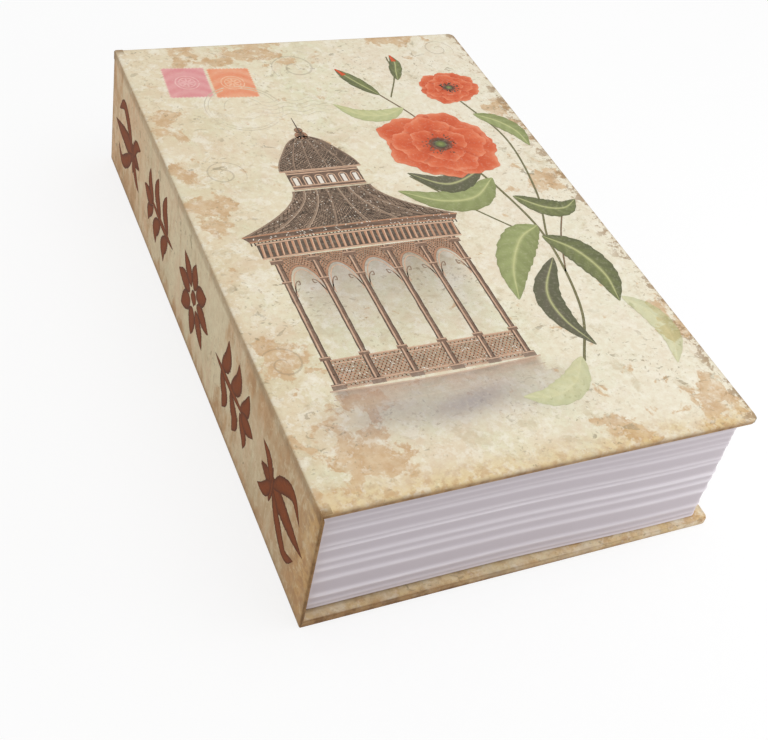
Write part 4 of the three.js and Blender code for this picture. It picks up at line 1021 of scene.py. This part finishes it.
def pageBlock():
    # a ridge is a bell curve of the height; its height strays slowly round the block
    low, high = book["cover"] + pages["lowGap"], book["topZ"] - book["cover"] - pages["highGap"]
    x0, x1 = spine["inner"] + 0.02, book["foreX"] - book["square"] + pages["proud"]
    y1 = book["endY"] - book["square"] + pages["proud"]
    corner = pages["corner"]

    def outline(d):
        # the points crowd towards the spine, and the tail face bows out a little towards the fore-edge
        points = ringOutline(x0, x1 - d, -y1 + d, y1 - d, [corner - d, corner - d, 0.02, 0.02], 12, 40)
        along = np.clip((points[:, 0] - x0) / (x1 - x0), 0, 1)
        points[:, 0] -= pages["waist"] * (x1 - x0) * along * (1 - along) ** 3 * (np.abs(points[:, 1]) > y1 - 1)
        share = np.clip((points[:, 0] - pages["bulgeFrom"]) / pages["bulgeRun"], 0, 1)
        points[:, 1] -= pages["bulge"] * share**2 * (3 - 2 * share) * np.clip(-points[:, 1] / y1, 0, 1) ** 6
        return points

    def inner(z, grow=0.0):
        left, right, tail, head = pages["hole"]
        return level(ringOutline(left - grow, right + grow, tail - grow, head + grow, [pages["holeCorner"] + grow] * 4,
                                 12, 40), z)

    base = outline(0.0)
    inward = outline(0.1) - base
    run = np.linspace(0, 2 * np.pi, len(base), endpoint=False)
    ends = np.clip((base[:, 0] - x0) / pages["smoothEnd"] - 0.3, 0, 1)
    nearSpine = np.clip(1 - (base[:, 0] - x0 - 1.0) / 1.0, 0, 1)
    wave = rng.normal(0, 1, (len(pages["ridges"]), 4))
    rings, pageShade = [], []
    for z in np.linspace(low, high, pages["levels"]):
        ridge = np.zeros(len(base))
        for (middle, strength, half), c in zip(pages["ridges"], wave):
            stray = pages["stray"] * (c[0] * np.sin(run * 2 + c[1]) + c[2] * np.sin(run * 5 + c[3]))
            fade = strength * (0.85 + 0.15 * np.sin(run * 3 + c[1]))
            ridge = np.maximum(ridge, fade * np.exp(-((z - middle - stray) / half) ** 2))
        ridge *= ends
        shadow = np.clip(1 - (z - low) / pages["shadow"], 0, 1)
        inset = pages["depth"] * (1 - ridge) + pages["undercut"] * shadow
        rings.append(level(base + inward * (inset * 10)[:, None], z))
        # painted shade in the hollows, a painted shadow at the foot and painted shade under the cover at the top
        pageShade.append((1 - ridge) * (1 - 0.85 * nearSpine) + shadow + 0.3 * np.clip(1 - (high - z) / 1.6, 0, 1))
    rings += [level(outline(pages["depth"] + 0.35), high + 0.02), inner(high + 0.02, 0.25), inner(high - 0.2),
              inner(low)]
    pageShade += [np.full(len(base), 0.5)] * 4
    points, faces = loft(rings, closed=True)
    makeMesh("page_edges", points, faces, pagePlastic, "case", ("page_block",), 50,
             {"pageShade": np.concatenate(pageShade)})


print("page block")
pageBlock()


def softened(node, material, width, segments=2, angle=32):
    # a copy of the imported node, its flat faces merged and its sharp edges rounded
    shape = bmesh.new()
    shape.from_mesh(frame["nodes"][node].data)
    bmesh.ops.remove_doubles(shape, verts=shape.verts, dist=2e-6)
    bmesh.ops.dissolve_limit(shape, angle_limit=np.radians(1), verts=shape.verts, edges=shape.edges)
    if width:
        sharp = [e for e in shape.edges if len(e.link_faces) == 2 and e.calc_face_angle(0) > np.radians(angle)]
        bmesh.ops.bevel(shape, geom=sharp, offset=width * mm, offset_type="OFFSET", segments=segments, profile=0.5,
                        affect="EDGES", clamp_overlap=True)
    mesh = bpy.data.meshes.new(node + "_shape")
    shape.to_mesh(mesh)
    shape.free()
    return addPiece(mesh, material, bodyOf[node], (node,), 34)


print("steel box, door and lock")
bodyOf = {node: body for body, nodes in frame["record"]["behaviour"]["bodies"].items() for node in nodes}
rounded = {
    "steel_box": (blackPaint, 0.3), "latch_ledge": (blackPaint, 0.25), "door": (blackPaint, 0.2),
    "hinge_pin_head": (zinc, 0.12), "hinge_pin_tail": (zinc, 0.12),
    "lock_plate": (blackPlastic, 0.12), "knob": (blackPlastic, 0.12), "lock_housing": (darkPlastic, 0.2),
    "number_wheel_1": (darkPlastic, 0.1), "number_wheel_2": (darkPlastic, 0.1), "number_wheel_3": (darkPlastic, 0.1),
    "latch_arm": (zinc, 0.2), "spindle_nut": (zinc, 0.15), "reset_slider": (blackPlastic, 0.2)}
for node, (material, width) in rounded.items():
    softened(node, material, width)

# White figures on the number wheels and an arrow beside each
marks = {"high": 4.4, "wide": 2.7, "rise": 0.05, "shown": (5, 2, 8), "digits": 10, "arrowX": (42.2, 44.3, 46.3),
         "arrowHalf": 1.9, "tailHalf": 0.45, "arrowZ": (42.38, 42.43)}


def digitShapes():
    # the built-in typeface's figures as closed slabs, centred, one millimetre wide and high
    shapes = []
    for digit in range(marks["digits"]):
        text = bpy.data.curves.new("figure", "FONT")
        text.body, text.extrude, text.resolution_u = str(digit), 0.5, 3
        holder = bpy.data.objects.new("figure", text)
        mesh = holder.to_mesh()
        points = np.array([v.co for v in mesh.vertices])
        faces = [list(p.vertices) for p in mesh.polygons]
        holder.to_mesh_clear()
        bpy.data.objects.remove(holder)
        bpy.data.curves.remove(text)
        low, high = points.min(0), points.max(0)
        points = (points - (low + high) / 2) / (high - low)
        if digit == 1:
            points[:, 0] *= 0.5
        shapes.append((points, faces))
    return shapes


def printMesh(name, parts, body):
    # several lots of points and faces as one white piece
    points, faces, total = [], [], 0
    for some, skin in parts:
        points.append(some)
        faces += [[v + total for v in face] for face in skin]
        total += len(some)
    makeMesh(name, np.concatenate(points), faces, whitePrint, body)


def numberPrint():
    # each figure is laid on its flat and turned round the wheel's axis
    shapes, arrows = digitShapes(), []
    tip, neck, end = marks["arrowX"]
    half, tail = marks["arrowHalf"], marks["tailHalf"]
    for k, shown in enumerate(marks["shown"]):
        low, high = (np.array(corner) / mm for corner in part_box(f"number_wheel_{k + 1}"))
        middle, flat = (low + high) / 2, (high[2] - low[2]) / 2
        figures = []
        for place in range(marks["digits"]):
            shape, skin = shapes[(shown + place) % marks["digits"]]
            x, y = shape[:, 0] * marks["wide"], shape[:, 1] * marks["high"]
            lift = flat + (shape[:, 2] + 0.3) * marks["rise"]
            turn = 2 * np.pi * place / marks["digits"]
            around = [x * np.cos(turn) + lift * np.sin(turn), y, lift * np.cos(turn) - x * np.sin(turn)]
            figures.append((middle + np.stack(around, 1), skin))
        printMesh(f"wheel_figures_{k + 1}", figures, f"wheel_{k + 1}")
        y = middle[1]
        outline = np.array([(tip, y), (neck, y - half), (neck, y - tail), (end, y - tail), (end, y + tail),
                            (neck, y + tail), (neck, y + half)])
        arrows.append(loft([level(outline, z) for z in marks["arrowZ"]]))
    printMesh("plate_arrows", arrows, "door")


numberPrint()

# the front board ends inside its wrap, 0.4 mm from the tail
frontBoard = softened("front_cover_board", greyBoard, 0).data
at = np.zeros(len(frontBoard.vertices) * 3)
frontBoard.vertices.foreach_get("co", at)
at[1::3] = np.maximum(at[1::3], (covers["front"]["tail"] + 0.4) * mm)
frontBoard.vertices.foreach_set("co", at)
frontBoard.update()

# the pieces that stay as packed
kept = {
    "back_cover_board": greyBoard, "front_cover_lining": liningPaper, "back_cover_lining": liningPaper,
    **dict.fromkeys(("lock_screw_1", "lock_screw_2", "lock_screw_3", "wheel_axle", "detent_spring", "code_disc_1",
                     "code_disc_2", "code_disc_3", "fence_bar", "knob_spindle"), zinc)}
for node, material in kept.items():
    frame["nodes"][node].data.materials.clear()
    frame["nodes"][node].data.materials.append(material)

# Lights (name, power, place, size), floor and camera; the camera is solved from the outline of the closed book
studio = {
    "fill": 0.74, "floorTone": (0.96, 0.96, 0.96, 1), "floorLift": 0.8, "floorHalf": 4.0, "floorZ": -5e-5,
    "lamps": (("key", 2.9, (0.35, -0.15, 1.1), 0.9), ("right", 0.5, (0.32, -0.22, 0.08), 0.2))}
photo = {
    "place": (-0.181038, -0.306202, 0.313865), "right": (0.900597, -0.393569, 0.184466),
    "forward": (0.414263, 0.648747, -0.638368), "lens": 57.9055, "sensor": 36,
    "shift": ((384 - 419.5) / 768, (292.9 - 370) / 768)}


def seenRays(paint):
    # 1 for what the camera sees, straight, mirrored or through glass
    rays = [paint.add("ShaderNodeLightPath", output=ray)
            for ray in ("Is Camera Ray", "Is Glossy Ray", "Is Transmission Ray")]
    return reduce(Field.top, rays)


def stood(place, right, back):
    # a matrix that looks against back
    right, back = (np.array(way) / np.linalg.norm(way) for way in (right, back))
    turn = np.stack([right, np.cross(back, right), back], 1)
    return Matrix.Translation(place) @ Matrix(turn.tolist()).to_4x4()


def studioSetup():
    # a world that is white to the camera and dimmer as a light, two lamps, and a floor that fades into the white
    scene = bpy.context.scene
    scene.view_settings.view_transform = "Standard"
    scene.world = bpy.data.worlds.new("studio")
    paint = Paint(scene.world)
    fill, white = (paint.add("ShaderNodeBackground", {}, {0: "ffffff", 1: power}) for power in (studio["fill"], 1.0))
    shown = paint.add("ShaderNodeMixShader", {}, {0: seenRays(paint), 1: fill, 2: white})
    paint.add("ShaderNodeOutputWorld", {}, {0: shown})

    for name, energy, place, size in studio["lamps"]:
        lamp = bpy.data.lights.new(name, "AREA")
        lamp.energy, lamp.size = energy, size
        light = linked(name, lamp)
        light.visible_camera = False
        back = np.array(place) - np.array([0, 0, 0.02])
        light.matrix_world = stood(place, np.cross([0, 0, 1.0], back), back)

    paint = newPaint("studio_floor")
    diffuse = paint.add("ShaderNodeBsdfDiffuse", {}, {"Color": studio["floorTone"]})
    glow = paint.add("ShaderNodeEmission", {}, {"Color": "ffffff", "Strength": 1.0})
    lift = paint.add("ShaderNodeMixShader", {}, {0: seenRays(paint) * studio["floorLift"], 1: diffuse, 2: glow})
    paint.add("ShaderNodeOutputMaterial", {}, {0: lift})
    size, z = studio["floorHalf"], studio["floorZ"]
    mesh = bpy.data.meshes.new("studio_floor")
    mesh.from_pydata([(-size, -size, z), (size, -size, z), (size, size, z), (-size, size, z)], [], [(0, 1, 2, 3)])
    mesh.materials.append(paint.owner)
    floor = linked("studio_floor", mesh)


def photoCamera():
    lens = bpy.data.cameras.new("photo")
    lens.sensor_fit, lens.sensor_width, lens.lens = "HORIZONTAL", photo["sensor"], photo["lens"]
    lens.shift_x, lens.shift_y = photo["shift"]
    lens.clip_start = 0.01
    right, forward = np.array(photo["right"]), np.array(photo["forward"])
    camera = linked("photo", lens)
    camera.matrix_world = stood(photo["place"], right - forward * (right @ forward), -forward)
    bpy.context.scene.camera = camera


print("studio")
studioSetup()
photoCamera()
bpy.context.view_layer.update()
